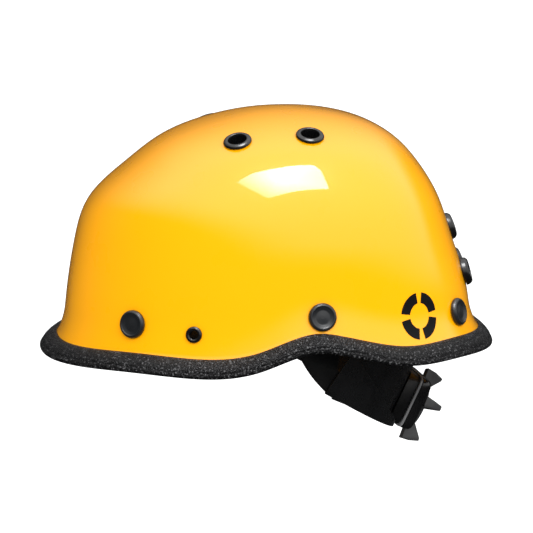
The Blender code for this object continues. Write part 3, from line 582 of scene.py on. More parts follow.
def drills(frames, radius, low, high, segments=64):
    """Cylinders along each frame's Z, all in one mesh."""
    mesh = bmesh.new()
    for spot in frames:
        hole = turned([(0, low), (radius, low), (radius, high), (0, high)], segments)
        hole.transform(spot)
        bmesh.ops.recalc_face_normals(hole, faces=hole.faces)
        mesh.from_mesh(mesh_data(hole, "drill"))
    return mesh


def box_mesh(low, high):
    (a, b, c), (d, e, f) = low, high
    return loft([[(a, b, z), (d, b, z), (d, e, z), (a, e, z)] for z in (c, f)])


def mirrored_pairs(spots):
    frames = {}
    for name, (angle, height) in spots.items():
        frames[name + "_left"] = skin_frame(angle, height)
        frames[name + "_right"] = skin_frame(angle, height, mirrored=True)
    return frames


CROWN_FRAMES = mirrored_pairs(CROWN_VENTS)
REAR_FRAMES = mirrored_pairs(REAR_VENTS)
REAR_FRAMES["middle"] = skin_frame(*REAR_MIDDLE_VENT)
PLUG_FRAMES = mirrored_pairs(PLUGS)
EYELET_FRAMES = mirrored_pairs({"eyelet": EYELET})
VENTS = list(CROWN_FRAMES.values()) + list(REAR_FRAMES.values())

# --- shell, trim and liner ---


def join_columns(mesh, columns, top_out, top_in):
    """Faces between columns that each run down the outside of a shell and up its inside."""
    for here, there in zip(columns, columns[1:] + columns[:1]):
        for j in range(len(here) - 1):
            mesh.faces.new((here[j], here[j + 1], there[j + 1], there[j]))
        mesh.faces.new((top_out, here[0], there[0]))
        mesh.faces.new((top_in, there[-1], here[-1]))


def make_shell():
    segments = 216
    shares = [0.03] + list(np.linspace(0.07, 0.9, 40)) + list(np.linspace(0.9125, 1.0, 12))
    mesh = bmesh.new()
    top_out = mesh.verts.new((0, CROWN_Y, SHELL_TOP))
    top_in = mesh.verts.new((0, CROWN_Y, SHELL_TOP - WALL))
    columns = []
    for i in range(segments):
        angle = tau * i / segments
        last = sqrt(1 - rim_height(angle) / SHELL_TOP)
        outer = []
        inner = []
        for share in shares[:-1]:
            height = SHELL_TOP * (1 - (last * share) ** 2)
            point = skin(angle, height)
            outer.append(point)
            inner.append(point - skin_normal(angle, height) * WALL)
        run, face = brim_directions(angle)
        lip = skin(angle, rim_height(angle))
        for reach in (0.0, BRIM_GRIP * 0.5, BRIM_GRIP):
            outer.append(lip + run * reach)
            inner.append(lip + run * reach - face * WALL)
        columns.append([mesh.verts.new(p) for p in outer + inner[::-1]])
    join_columns(mesh, columns, top_out, top_in)
    shell = piece("shell_skin", mesh, YELLOW, "helmet", ["shell"])
    holes = drills(VENTS, 0.0082, -0.012, 0.006)
    holes.from_mesh(mesh_data(drills(EYELET_FRAMES.values(), 0.0036, -0.008, 0.005, 40), "drill"))
    holes.from_mesh(mesh_data(drills(PLUG_FRAMES.values(), 0.0033, -0.008, 0.005, 32), "drill"))
    cut(shell, [holes])


def make_trim():
    """The rubber channel: a soft broad outer face, a thinner bead below a groove, two lips."""
    slot = WALL / 2 + 0.0001
    lip = -0.0077
    outer = [
        (lip, slot), (lip + 0.0002, slot + 0.0007), (lip + 0.002, TRIM_HALF - 0.0003), (lip + 0.0048, TRIM_HALF),
        (-0.0004, TRIM_HALF), (0.0018, TRIM_HALF - 0.0004), (0.003, TRIM_HALF - 0.0012),
        (0.0036, TRIM_HALF - 0.0013), (0.0048, 0.0014), (TRIM_NOSE, 0.0), (0.0048, -0.0014),
    ]
    inner = [
        (0.0026, -TRIM_HALF + 0.0006), (0.0, -TRIM_HALF), (lip + 0.003, -TRIM_HALF),
        (lip + 0.0012, -TRIM_HALF + 0.0004), (lip, -slot - 0.0008), (lip, -slot), (GAP, -slot), (GAP, slot),
    ]
    profile = rounded(outer + inner, [0.0003, 0.0006, 0.0012, 0.0018, 0.0015, 0.001, 0.0004, 0.0004, 0.0014, 0.0014,
                                      0.0014, 0.0016, 0.0014, 0.001, 0.0008, 0.0005, 0.0002, 0.0002, 0.0002], steps=4)
    segments = 260
    sections = []
    for i in range(segments):
        angle = tau * i / segments
        run, face = brim_directions(angle)
        edge = skin(angle, rim_height(angle)) + run * BRIM_GRIP - face * WALL / 2
        nose = 1 + TRIM_STRETCH * plan_terms(angle)[1] ** 2
        sections.append([edge + run * a * (nose if a > 0 else 1) + face * b for a, b in profile])
    piece("edge_trim_rubber", loft(sections, around=True), RUBBER, "helmet", ["edge_trim"], degrees=60)


def make_liner():
    segments = 120
    rows = 22
    last = sqrt(1 - LINER_LOW / SHELL_TOP)
    heights = [SHELL_TOP * (1 - (last * row / rows) ** 2) for row in range(1, rows + 1)]
    mesh = bmesh.new()
    top_out = mesh.verts.new((0, CROWN_Y, SHELL_TOP - LINER_GAP))
    top_in = mesh.verts.new((0, CROWN_Y, SHELL_TOP - LINER_GAP - LINER_THICK))
    columns = []
    for i in range(segments):
        angle = tau * i / segments
        outer = []
        inner = []
        for height in heights:
            point = skin(angle, height)
            normal = skin_normal(angle, height)
            outer.append(point - normal * LINER_GAP)
            inner.append(point - normal * (LINER_GAP + LINER_THICK))
        columns.append([mesh.verts.new(p) for p in outer + inner[::-1]])
    join_columns(mesh, columns, top_out, top_in)
    liner = piece("liner_foam", mesh, FOAM, "helmet", ["impact_liner"])
    cut(liner, [drills(VENTS, 0.0105, -0.03, -0.001, 48)])
    bevelled(liner, 0.0018, 3, 50)


# --- vents, plugs and eyelets ---


def make_vents():
    """Rolled grommets: a round flange outside, a tube through the wall, a snap lip inside."""
    for group, frames, proud in (("crown_grommet_", CROWN_FRAMES, 0.85), ("rear_grommet_", REAR_FRAMES, 1.55)):
        profile = rounded([
            (0.006, -0.0044), (0.0058, 0.001), (0.0061, 0.0029 * proud), (0.0074, 0.0031 * proud),
            (0.0089, 0.0021 * proud), (0.0095, 0.0004), (0.0079, 0.0008), (0.0079, -0.0034), (0.0084, -0.004),
            (0.007, -0.0044),
        ], [0.0003, 0.0008, 0.0009, 0.0016, 0.0014, 0.0003, 0.0001, 0.0002, 0.0003, 0.0003])
        for name, spot in frames.items():
            piece(group + name + "_ring", turned(profile, closed=True), GLOSS_BLACK, "helmet", [group + name], spot,
                  degrees=60)


def make_plugs():
    """Dished caps with a round raised rim, and their washer nuts inside."""
    cap = rounded(mm([
        (0, 3.1), (1.2, 3.1), (4.6, 2.7), (6.6, 3.4), (7.4, 4), (8.4, 3.4),
        (9.1, 2.2), (9.1, 0.6), (3, 0.6), (3, -8), (0, -8),
    ]), [0, 0.001, 0.002, 0.0014, 0.0012, 0.0012, 0.001, 0.0002, 0.0001, 0.0004, 0], closed=False)
    nut = rounded([
        (0.0033, -0.004), (0.0078, -0.004), (0.0078, -0.005), (0.006, HANGER_NEAR + GAP),
        (0.0033, HANGER_NEAR + GAP),
    ], 0.0003)
    for name, spot in PLUG_FRAMES.items():
        piece("cap_" + name, turned(cap), CAP_BLACK, "helmet", ["plug_cap_" + name], spot, degrees=50)
        piece("nut_" + name, turned(nut, 48, closed=True), WHITE_NYLON, "helmet", ["plug_nut_" + name], spot)


def make_eyelets():
    profile = rounded(mm([
        (2.6, 1), (2.9, 2.1), (4, 2.5), (5.1, 1.9), (5.5, 0.6),
        (3.3, 0.8), (3.3, -3.4), (2.6, -3.4),
    ]), 0.0005)
    for name, spot in EYELET_FRAMES.items():
        piece("drain_ring_" + name.split("_")[1], turned(profile, 48, closed=True), GLOSS_BLACK, "helmet",
              ["drain_" + name], spot, degrees=60)


# --- straps ---


def ribbon(points, sides, width, thickness, samples):
    """A flat strap along a smooth path with soft edges and UVs in metres; also returns its centre frames."""
    hops = [(Vector(b) - Vector(a)).length for a, b in zip(points, points[1:])]
    stations = np.concatenate(([0], np.cumsum(hops))) / sum(hops)
    path = Smooth(stations, [tuple(point) for point in points])
    across = Smooth(stations, [tuple(side) for side in sides])
    outline = []
    for sx, sz in ((-1, -1), (1, -1), (1, 1), (-1, 1)):
        outline.append((sx * width / 2, sz * thickness / 2))
    outline = rounded(outline, thickness * 0.45, steps=3)
    mesh = bmesh.new()
    uv = mesh.loops.layers.uv.new("UVMap")
    rows = []
    frames = []
    length = 0.0
    last = None
    for at in np.linspace(0, 1, samples):
        before = Vector(path(max(at - 0.01, 0)))
        after = Vector(path(min(at + 0.01, 1)))
        along = (after - before).normalized()
        side = Vector(across(at))
        side = (side - along * side.dot(along)).normalized()
        face = along.cross(side)
        middle = Vector(path(at))
        length += (middle - last).length if last else 0.0
        last = middle
        frames.append((middle, along, side, face, length))
        rows.append(([mesh.verts.new(middle + side * x + face * z) for x, z in outline], length))
    for (first, near), (second, far) in zip(rows, rows[1:]):
        for j in range(len(outline)):
            k = (j + 1) % len(outline)
            made = mesh.faces.new((first[j], first[k], second[k], second[j]))
            for corner, along_at, index in zip(made.loops, (near, near, far, far), (j, k, k, j)):
                corner[uv].uv = (along_at, outline[index][0])
    for row in (rows[0][0], list(reversed(rows[-1][0]))):
        mesh.faces.new(row)
    return mesh, frames


def stitches(name, frames, start, stop, width):
    """A box stitch on both faces of a strap between two lengths along it."""
    mesh = bmesh.new()

    def both_faces(middle, side, face, across, along, beside):
        for sign in (-1, 1):
            spot = middle + side * across + face * sign * (WEB_THICK / 2 + 0.00002)
            add_stitch(mesh, spot, along, beside, face * sign)

    for middle, along, side, face in resample(frames, start, stop, STITCH_PITCH):
        for across in (-width / 2 + 0.0022, width / 2 - 0.0022):
            both_faces(middle, side, face, across, along, side)
    for edge in (start, stop):
        middle, along, side, face = resample(frames, edge, edge, 1.0)[0]
        count = int((width - 0.005) / STITCH_PITCH)
        for i in range(count):
            both_faces(middle, side, face, -width / 2 + 0.003 + (width - 0.006) * i / (count - 1), side, along)
    piece(name, mesh, THREAD, "helmet", degrees=70)


def resample(frames, start, stop, pitch):
    """Strap frames at even lengths between two lengths."""
    lengths = [f[4] for f in frames]
    spots = []
    at = start
    while at <= stop + 1e-9:
        i = int(np.clip(np.searchsorted(lengths, at) - 1, 0, len(frames) - 2))
        share = (at - lengths[i]) / (lengths[i + 1] - lengths[i])
        a = frames[i]
        b = frames[i + 1]
        spots.append((a[0].lerp(b[0], share), a[1], a[2], a[3]))
        at += pitch
    return spots


def add_stitch(mesh, spot, along, side, out):
    """One short thread lying on the strap, thicker in its middle."""
    rings = []
    for t, scale in ((-0.5, 0.25), (-0.3, 0.9), (0.0, 1.0), (0.3, 0.9), (0.5, 0.25)):
        ring = []
        for i in range(6):
            angle = tau * i / 6
            ring.append(mesh.verts.new(
                spot + along * t * STITCH_LENGTH + (side * cos(angle) + out * sin(angle)) * 0.00028 * scale
            ))
        rings.append(ring)
    for first, second in zip(rings, rings[1:]):
        for j in range(6):
            mesh.faces.new((first[j], first[(j + 1) % 6], second[(j + 1) % 6], second[j]))
    mesh.faces.new(rings[0])
    mesh.faces.new(list(reversed(rings[-1])))


def chin_path(side):
    return [
        (side * 0.0775, TUCK_Y, 0.026), (side * 0.0745, TUCK_Y, 0.044), (side * 0.066, TUCK_Y, 0.066),
        (side * 0.048, TUCK_Y, 0.081), (side * 0.029, TUCK_Y, BUCKLE_HEIGHT),
    ]


def make_crown_straps():
    for order, (front_side, rear_side) in enumerate((("left", "right"), ("right", "left"))):
        front = PLUG_FRAMES["front_" + front_side]
        rear = PLUG_FRAMES["rear_" + rear_side]
        start = front @ Vector((0, 0.016, HANGER_FAR - 0.002))
        end = rear @ Vector((0, 0.016, HANGER_FAR - 0.002))
        side = 1 if front_side == "left" else -1
        lift = order * 0.0024
        points = [
            start, (side * 0.058, -0.077, 0.062), (side * 0.04, -0.05, 0.095), (0.0, 0.004, 0.115 + lift),
            (side * -0.038, 0.064, 0.096), (side * -0.051, 0.0862, 0.064), end,
        ]
        level = Vector((start.y - end.y, end.x - start.x, 0)).normalized() * side
        first = front.col[0].xyz
        last = rear.col[0].xyz
        if first.dot(level) < 0:
            first = -first
        if last.dot(level) < 0:
            last = -last
        mesh, frames = ribbon(points, [first] + [level] * 5 + [last], WEB_WIDTH, WEB_THICK, 110)
        piece("crown_webbing_" + front_side, mesh, WEB, "helmet", ["crown_strap_" + front_side])
        total = frames[-1][4]
        stitches("crown_stitch_front_" + front_side, frames, 0.004, 0.018, WEB_WIDTH)
        stitches("crown_stitch_rear_" + front_side, frames, total - 0.018, total - 0.004, WEB_WIDTH)


def make_chin_straps():
    for side, name in SIDES:
        mesh, frames = ribbon(chin_path(side), [(0, 1, 0)] * 5, WEB_WIDTH, WEB_THICK, 60)
        rider = "helmet" if side > 0 else None
        strap = piece("chin_webbing_" + name, mesh, WEB, rider, ["chin_strap_" + name])
        if side < 0:
            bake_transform(strap)
        stitches("chin_stitch_" + name, frames, 0.003, 0.012, WEB_WIDTH)


def make_rear_straps():
    for side, name in SIDES:
        start = PLUG_FRAMES["rear_" + name] @ Vector((0, -0.005, HANGER_FAR - 0.004))
        points = [
            start, (side * 0.066, 0.078, 0.026), (side * 0.07, 0.045, 0.034), (side * 0.071, 0.014, 0.045),
            (side * 0.073, TUCK_Y + 0.0165, 0.05),
        ]
        sides = [(0, 0.15, 1), (side * -0.1, 0.1, 1), (side * -0.2, 0.2, 1), (side * -0.3, 0.3, 1),
                 (side * -0.4, 0.2, 0.9)]
        mesh, frames = ribbon(points, sides, REAR_WEB_WIDTH, WEB_THICK, 70)
        piece("rear_webbing_" + name, mesh, WEB, "helmet", ["rear_strap_" + name])
        stitches("rear_stitch_" + name, frames, 0.003, 0.013, REAR_WEB_WIDTH)


def slider_frame(side):
    _, low, high = chin_path(side)[:3]
    low = Vector(low)
    high = Vector(high)
    along = (high - low).normalized()
    across = Vector((0, 1, 0))
    off = across.cross(along)
    spot = Matrix((across, along, off)).transposed().to_4x4()
    spot.translation = (low + high) / 2 + off * side * 0.0008
    return spot


def make_sliders():
    for side, name in SIDES:
        outline = rounded(mm([(-14, -10), (14, -10), (14, 10), (-14, 10)]), 0.003)
        levels = [(0.9, -0.0026), (0.97, -0.002), (1.0, -0.001), (1.0, 0.0016), (0.97, 0.0025), (0.9, 0.003)]
        body = loft([[(x * s, y * s, z) for x, y in outline] for s, z in levels])
        slider = piece("slider_" + name, body, CAP_BLACK, "helmet", ["strap_slider_" + name], slider_frame(side))
        windows = []
        for low, high in ((-0.0066, -0.0014), (0.0014, 0.0066)):
            window = box_mesh((-0.0106, low, 0.0014), (0.0106, high, 0.006))
            window.transform(slider_frame(side))
            windows.append(window)
        slot = box_mesh((-0.0108, -0.014, -0.0014), (0.0108, 0.014, 0.0015))
        slot.transform(slider_frame(side))
        cut(slider, [slot] + windows)
        bevelled(slider, 0.0003, 2, 40)


def make_buckle():
    middle = Matrix.Translation((0, TUCK_Y, BUCKLE_HEIGHT))
    outline = rounded(mm([
        (-4, -12), (4, -13.5), (16, -13), (26.2, -11.2), (26.2, 11.2), (16, 13),
        (4, 13.5), (-4, 12),
    ]), [0.001, 0.004, 0.006, 0.002, 0.002, 0.006, 0.004, 0.001])
    levels = [(0.9, -0.0045), (0.97, -0.0038), (1.0, -0.0024), (1.0, 0.0024), (0.97, 0.0038), (0.9, 0.0045)]
    body = loft([[((x - 0.011) * (0.5 + s / 2) + 0.011, y * s, z) for x, y in outline] for s, z in levels])
    socket = piece("buckle_socket_shell", body, CAP_BLACK, "helmet", ["buckle_socket"], middle)
    pocket = box_mesh((-0.008, -0.0104, -0.003), (0.0125, 0.0104, 0.003))
    bar = box_mesh((0.0225, -0.0106, -0.0016), (0.03, 0.0106, 0.0016))
    tools = [pocket, bar]
    for sign in (-1, 1):
        window = extruded(rounded([(0.001, sign * 0.0075), (0.011, sign * 0.0065), (0.011, sign * 0.016),
                                   (0.001, sign * 0.016)], 0.001), -0.0022, 0.0022)
        tools.append(window)
    for tool in tools:
        tool.transform(middle)
    cut(socket, tools)
    bevelled(socket, 0.0004, 3, 40)
    plug_outline = rounded(mm([
        (-26.2, -11), (-4.3, -12), (-4.3, -9.8), (6, -9.8), (10, -7.5),
        (10, -5.5), (-1, -5.5), (-1, -2.2), (11.5, -2.2), (11.5, 2.2),
        (-1, 2.2), (-1, 5.5), (10, 5.5), (10, 7.5), (6, 9.8),
        (-4.3, 9.8), (-4.3, 12), (-26.2, 11),
    ]), 0.0006, steps=3)
    plug = piece("buckle_plug_prongs", extruded(plug_outline, -0.0026, 0.0026), CAP_BLACK, "buckle", ["buckle_plug"],
                 middle)
    tail = box_mesh((-0.03, -0.0106, -0.0016), (-0.0225, 0.0106, 0.0016))
    tail.transform(middle)
    cut(plug, [tail])
    bevelled(plug, 0.0003, 2, 40)


# --- cradle hardware ---


def band_point(turn, offset=0.0):
    x = (BAND_HALF_WIDTH + offset) * cos(turn)
    y = -(BAND_REACH + offset) * sin(turn)
    return x, y


def band_edges(turn):
    return BAND_LOW + 0.005 * cos(turn) ** 2, BAND_HIGH - 0.006 * cos(turn) ** 2


def make_headband():
    half = BAND_THICK / 2
    sections = []
    for turn in np.linspace(BAND_END, pi - BAND_END, 140):
        low, high = band_edges(turn)
        near = band_point(turn, -half)
        far = band_point(turn, half)
        sections.append([(*near, low), (*far, low), (*far, high), (*near, high)])
    band = piece("headband_strip", loft(sections), SATIN, "helmet", ["headband"])
    slots = []
    for degrees in (40, 58, 76, 90, 104, 122, 140):
        turn = radians(degrees)
        x, y = band_point(turn)
        heading = atan2(BAND_REACH * cos(turn), BAND_HALF_WIDTH * sin(turn))
        spot = Matrix.Translation((x, y, 0.0205)) @ Matrix.Rotation(-heading, 4, "Z")
        outline = rounded(mm([(-7, -1.6), (7, -1.6), (7, 1.6), (-7, 1.6)]), 0.0015)
        window = loft([[(px, depth, pz) for px, pz in outline] for depth in (-0.004, 0.004)])
        window.transform(spot)
        slots.append(window)
    cut(band, slots)
    bevelled(band, 0.0004, 2, 40)


def rectangle(half_wide, low, high, depth):
    return [(-half_wide, low, depth), (half_wide, low, depth), (half_wide, high, depth), (-half_wide, high, depth)]


def distance_to_band(point, direction):
    wide = BAND_HALF_WIDTH + BAND_THICK / 2 + GAP
    deep = BAND_REACH + BAND_THICK / 2 + GAP
    a = (direction.x / wide) ** 2 + (direction.y / deep) ** 2
    b = 2 * (point.x * direction.x / wide**2 + point.y * direction.y / deep**2)
    c = (point.x / wide) ** 2 + (point.y / deep) ** 2 - 1
    return (-b - sqrt(b * b - 4 * a * c)) / (2 * a)


def make_hangers():
    for name, spot in PLUG_FRAMES.items():
        place = name.split("_")[0]
        if place == "middle":
            continue
        bore = drills([spot], 0.0033, -0.0105, -0.005, 32)
        if place == "front":
            reach = distance_to_band(spot.translation, -spot.col[2].xyz)
            body = loft([
                rectangle(0.011, -0.01, 0.026, HANGER_NEAR), rectangle(0.011, -0.01, 0.026, HANGER_FAR),
                rectangle(0.0075, -0.009, 0.004, HANGER_FAR - 0.0006), rectangle(0.006, -0.006, 0.004, -reach + 0.0022),
            ])
        else:
            body = loft([
                rectangle(0.011, -0.014, 0.026, HANGER_NEAR), rectangle(0.011, -0.014, 0.026, HANGER_FAR),
            ])
        hanger = piece("hanger_" + name, body, WHITE_NYLON, "helmet", ["cradle_hanger_" + name], spot)
        slot = box_mesh((-0.0088, 0.0205, -0.0125), (0.0088, 0.0232, -0.005))
        slot.transform(spot)
        cut(hanger, [bore, slot])
        bevelled(hanger, 0.0005, 3, 35)
    for side, name in SIDES:
        x = PIVOT.x + 0.0023
        points = [
            (side * x, 0.024, PIVOT.z), (side * x, 0.006, PIVOT.z), (side * (x - 0.001), -0.006, 0.028),
            (side * 0.099, -0.014, 0.024), (side * 0.0885, -0.0155, 0.022), (side * 0.0862, -0.016, 0.022),
        ]
        mesh, _ = ribbon(points, [(0, 0, 1)] * len(points), 0.014, 0.0018, 70)
        bar = piece("hanger_middle_" + name, mesh, WHITE_NYLON, "helmet", ["cradle_hanger_middle_" + name])
        along_x = Matrix.Translation((0, PIVOT.y, PIVOT.z - 0.0008)) @ Matrix.Rotation(pi / 2, 4, "Y")
        low, high = sorted((side * (x - 0.006), side * (x + 0.006)))
        cut(bar, [drills([along_x], 0.0045, low, high, 40)])


def make_pivot_pins():
    profile = rounded(mm([
        (0, -3.6), (4.6, -3.4), (6, -2.6), (6, -1.4), (2.8, -1.4), (2.8, 1.8),
        (0, 1.8),
    ]), [0, 0.0008, 0.0006, 0.0002, 0.0001, 0.0003, 0], closed=False)
    for side, name in SIDES:
        spot = Matrix.Translation((side * PIVOT.x, PIVOT.y, PIVOT.z)) @ Matrix.Rotation(side * pi / 2, 4, "Y")
        piece("rivet_" + name, turned(profile, 48), STEEL, "helmet", ["pivot_pin_" + name], spot)


# --- nape harness ---

NAPE = Matrix.Translation(NAPE_CENTRE) @ Matrix.Rotation(-NAPE_LEAN, 4, "X")
AXIS = NAPE @ Matrix.Rotation(-pi / 2, 4, "X")


def nape_plan(turn, offset=0.0):
    x = (NAPE_HALF_WIDTH + offset) * signed_power(sin(turn), 2 / NAPE_POWER)
    y = NAPE_MIDDLE + (NAPE_REACH + offset) * signed_power(cos(turn), 2 / NAPE_POWER)
    return x, y


def nape_turn_at_depth(y, offset):
    return acos(((y - NAPE_MIDDLE) / (NAPE_REACH + offset)) ** (NAPE_POWER / 2))


def nape_turn_at_width(x, offset):
    return asin((x / (NAPE_HALF_WIDTH + offset)) ** (NAPE_POWER / 2))


def nape_strip(turns, middle, thick, edges):
    sections = []
    for turn in turns:
        low, high = edges(*nape_plan(turn, middle))
        near = nape_plan(turn, middle - thick / 2)
        far = nape_plan(turn, middle + thick / 2)
        sections.append([(*near, low), (*far, low), (*far, high), (*near, high)])
    return loft(sections)


def nape_side_width(y, offset):
    if y <= NAPE_MIDDLE:
        return NAPE_HALF_WIDTH + offset
    return nape_plan(nape_turn_at_depth(y, offset), offset)[0]


def make_nape_band():
    limit = nape_turn_at_depth(NAPE_FRONT, 0.0)
    mesh = nape_strip(np.linspace(-limit, limit, 150), 0.0, 0.0018, lambda x, y: (NAPE_LOW, NAPE_HIGH))
    band = piece("nape_band_strip", mesh, SATIN, "nape_unit", ["nape_band"], NAPE)
    bevelled(band, 0.0006, 3, 40)


def wing_top(y):
    return 0.0134 - 0.6 * (y + 0.0516)


def wing_bottom(y):
    return NAPE_LOW - 0.0005 - WING_FALL * (y + 0.0447)


def make_wings():
    first = nape_turn_at_depth(WING_FRONT, WING_OFFSET)
    last = nape_turn_at_width(WING_TIP_X, WING_OFFSET)

    def edges(x, y):
        low = wing_bottom(y)
        return low, max(wing_top(y), low + 0.003)

    for side, name in SIDES:
        turns = [side * turn for turn in np.linspace(first, last, 70)]
        mesh = nape_strip(turns, WING_OFFSET, 0.002, edges)
        for vertex in mesh.verts:
            share = min(max((WING_FRONT + 0.011 - vertex.co.y) / 0.008, 0.0), 1.0)
            vertex.co.y += WING_RAKE * share * (vertex.co.z - 0.0067)
        wing = piece("wing_" + name, mesh, SATIN, "nape_yoke", ["nape_wing_" + name], NAPE)
        bevelled(wing, 0.0005, 3, 40)


def arm_spread(height):
    share = min(max((height - 0.006) / 0.022, 0.0), 1.0)
    return (PIVOT.x - NAPE_HALF_WIDTH - ARM_OFFSET) * share * share * (3 - 2 * share)


def make_arms():
    heights = (-0.0105, -0.006, 0.0005, 0.006, 0.011, 0.016, 0.022, 0.028, 0.037, 0.043, 0.0475)
    fronts = Smooth(heights, (-0.069, -0.08, -0.0915, -0.099, -0.105, -0.1095, -0.113, -0.115, -0.1155,
                              -0.1135, -0.108))
    rears = Smooth(heights, (-0.062, -0.062, -0.064, -0.0698, -0.0725, -0.076, -0.081, -0.088, -0.0925,
                             -0.095, -0.1))
    for side, name in SIDES:
        sections = []
        for height in np.linspace(heights[0], heights[-1], 60):
            spread_here = arm_spread(height)
            front = float(fronts(height))
            rear = float(rears(height))
            section = []
            for offset, depths in ((-0.001, np.linspace(front, rear, 8)), (0.001, np.linspace(rear, front, 8))):
                for depth in depths:
                    section.append((side * (nape_side_width(depth, ARM_OFFSET + offset) + spread_here), depth, height))
            sections.append(section)
        arm = piece("arm_" + name, loft(sections), ARM_BLACK, "nape_yoke", ["nape_arm_" + name], NAPE)
        spot = NAPE @ Matrix.Translation((0, -0.1041, 0.037)) @ Matrix.Rotation(pi / 2, 4, "Y")
        low, high = sorted((side * (PIVOT.x - 0.006), side * (PIVOT.x + 0.006)))
        cut(arm, [drills([spot], 0.0031, low, high, 40)])
        bevelled(arm, 0.0005, 2, 50)


# --- ratchet adjuster ---


def case_outline(margin):
    wide = CASE_HALF_WIDTH - margin
    tall = CASE_HALF_HEIGHT - margin
    outline = []
    for i in range(CASE_STEPS):
        angle = tau * (i + 0.5) / CASE_STEPS
        x = wide * signed_power(cos(angle), 0.24)
        outline.append((x, CASE_MIDDLE + tall * signed_power(sin(angle), 0.2)))
    return outline


def make_ratchet():
    sections = []
    front = 0.0012
    for x in np.linspace(-CASE_HALF_WIDTH + 0.0015, CASE_HALF_WIDTH - 0.0015, 90):
        inner = nape_plan(nape_turn_at_width(abs(x), front), front)[1] + GAP
        share = min(abs(x) / CASE_HALF_WIDTH, 1.0)
        tall = (CASE_HALF_HEIGHT - 0.0006) * (1 - share**7) ** 0.25
        low = CASE_MIDDLE - tall
        high = CASE_MIDDLE + tall
        sections.append([(x, inner, low), (x, -0.001, low), (x, -0.001, high), (x, inner, high)])
    base = piece("ratchet_saddle", loft(sections), ARM_BLACK, "nape_unit", ["ratchet_base"], NAPE)
    bevelled(base, 0.0006, 3, 50)
    levels = [(0.0002, -0.0007), (0.0, -0.0005), (0.0, 0.0007), (0.0002, 0.0009)]
    plate = loft([[(x, depth, z) for x, z in case_outline(margin)] for margin, depth in levels])
    piece("adjuster_strip", plate, STRIP_GREY, "nape_unit", ["adjuster_plate"], NAPE)
    levels = [(0.0004, 0.0012), (0.0001, 0.0015), (0.0, 0.0028), (0.0001, 0.005), (0.0006, 0.0066), (0.0014, 0.0077),
              (0.0026, 0.0084), (0.0046, 0.0088)]
    body = loft([[(x, depth, z) for x, z in case_outline(margin)] for margin, depth in levels])
    case = piece("ratchet_case", body, GLOSS_BLACK, "nape_unit", ["ratchet_housing"], NAPE, degrees=50)
    half = CASE_HALF_WIDTH - 0.002
    pocket = box_mesh((-half, -0.001, -0.0112), (half, 0.0064, 0.0112))
    pocket.transform(NAPE)
    cut(case, [pocket, drills([AXIS], 0.0036, 0.0, 0.012, 48)])


def fin_loft():
    """A knob fin: a flat plate whose tip stands out along the axis, with softened edges."""
    profile = rounded([
        (0.011, 0.0093), (KNOB_RADIUS + 0.0006, 0.0093), (KNOB_RADIUS, 0.016), (KNOB_RADIUS - 0.0021, 0.0224),
        (KNOB_RADIUS - 0.0042, 0.0218), (0.01, 0.0126), (0.01, 0.0114),
    ], [0.0002, 0.0006, 0.002, 0.0007, 0.0007, 0.0004, 0.0002], steps=4)
    middle = Vector((0.019, 0.0145))
    sections = []
    for side, inset in ((-1.0, 0.94), (-0.86, 0.985), (-0.6, 1.0), (0.6, 1.0), (0.86, 0.985), (1.0, 0.94)):
        section = []
        for point in profile:
            r, h = middle + (Vector(point) - middle) * inset
            section.append((r, side * (FIN_HALF - FIN_TAPER * (h - 0.0093)), h))
        sections.append(section)
    return loft(sections)


def make_knob():
    hub = rounded(mm([
        (3.8, 9.2), (6.2, 9.2), (6.2, 10.8), (10.4, 10.8), (10.4, 9.2), (19, 9.2),
        (18.8, 11.3), (16.8, 12.9), (11, 14.1), (3.8, 14.7),
    ]), 0.0004)
    knob = piece("knob_star", turned(hub, 96, closed=True), KNOB_GREY, "knob", ["ratchet_knob"], AXIS, degrees=45)
    tools = []
    for i in range(KNOB_FINS):
        fin = fin_loft()
        fin.transform(AXIS @ Matrix.Rotation(pi / 2 + KNOB_TURN + tau * i / KNOB_FINS, 4, "Z"))
        tools.append(fin)
    cap = turned(rounded(mm([(0, 11), (4.5, 11), (4.5, 15), (3.6, 15.6), (0, 15.8)]), 0.0004,
                         closed=False), 64)
    cap.transform(AXIS)
    tools.append(cap)
    cut(knob, tools, "UNION")
    shade(knob.data, 45)


def make_click_ring():
    sections = []
    for i in range(96):
        angle = tau * i / 96
        swell = max(0.0, cos(2 * angle)) ** 12
        outer = 0.0092 + 0.0006 * swell
        sections.append([
            (r * cos(angle), r * sin(angle), z)
            for r, z in ((0.007, 0.0092), (outer, 0.0092), (outer, 0.0102), (0.007, 0.0102))
        ])
    piece("click_ring", loft(sections, around=True), STEEL, "nape_unit", ["click_spring"], AXIS)


# --- pads ---


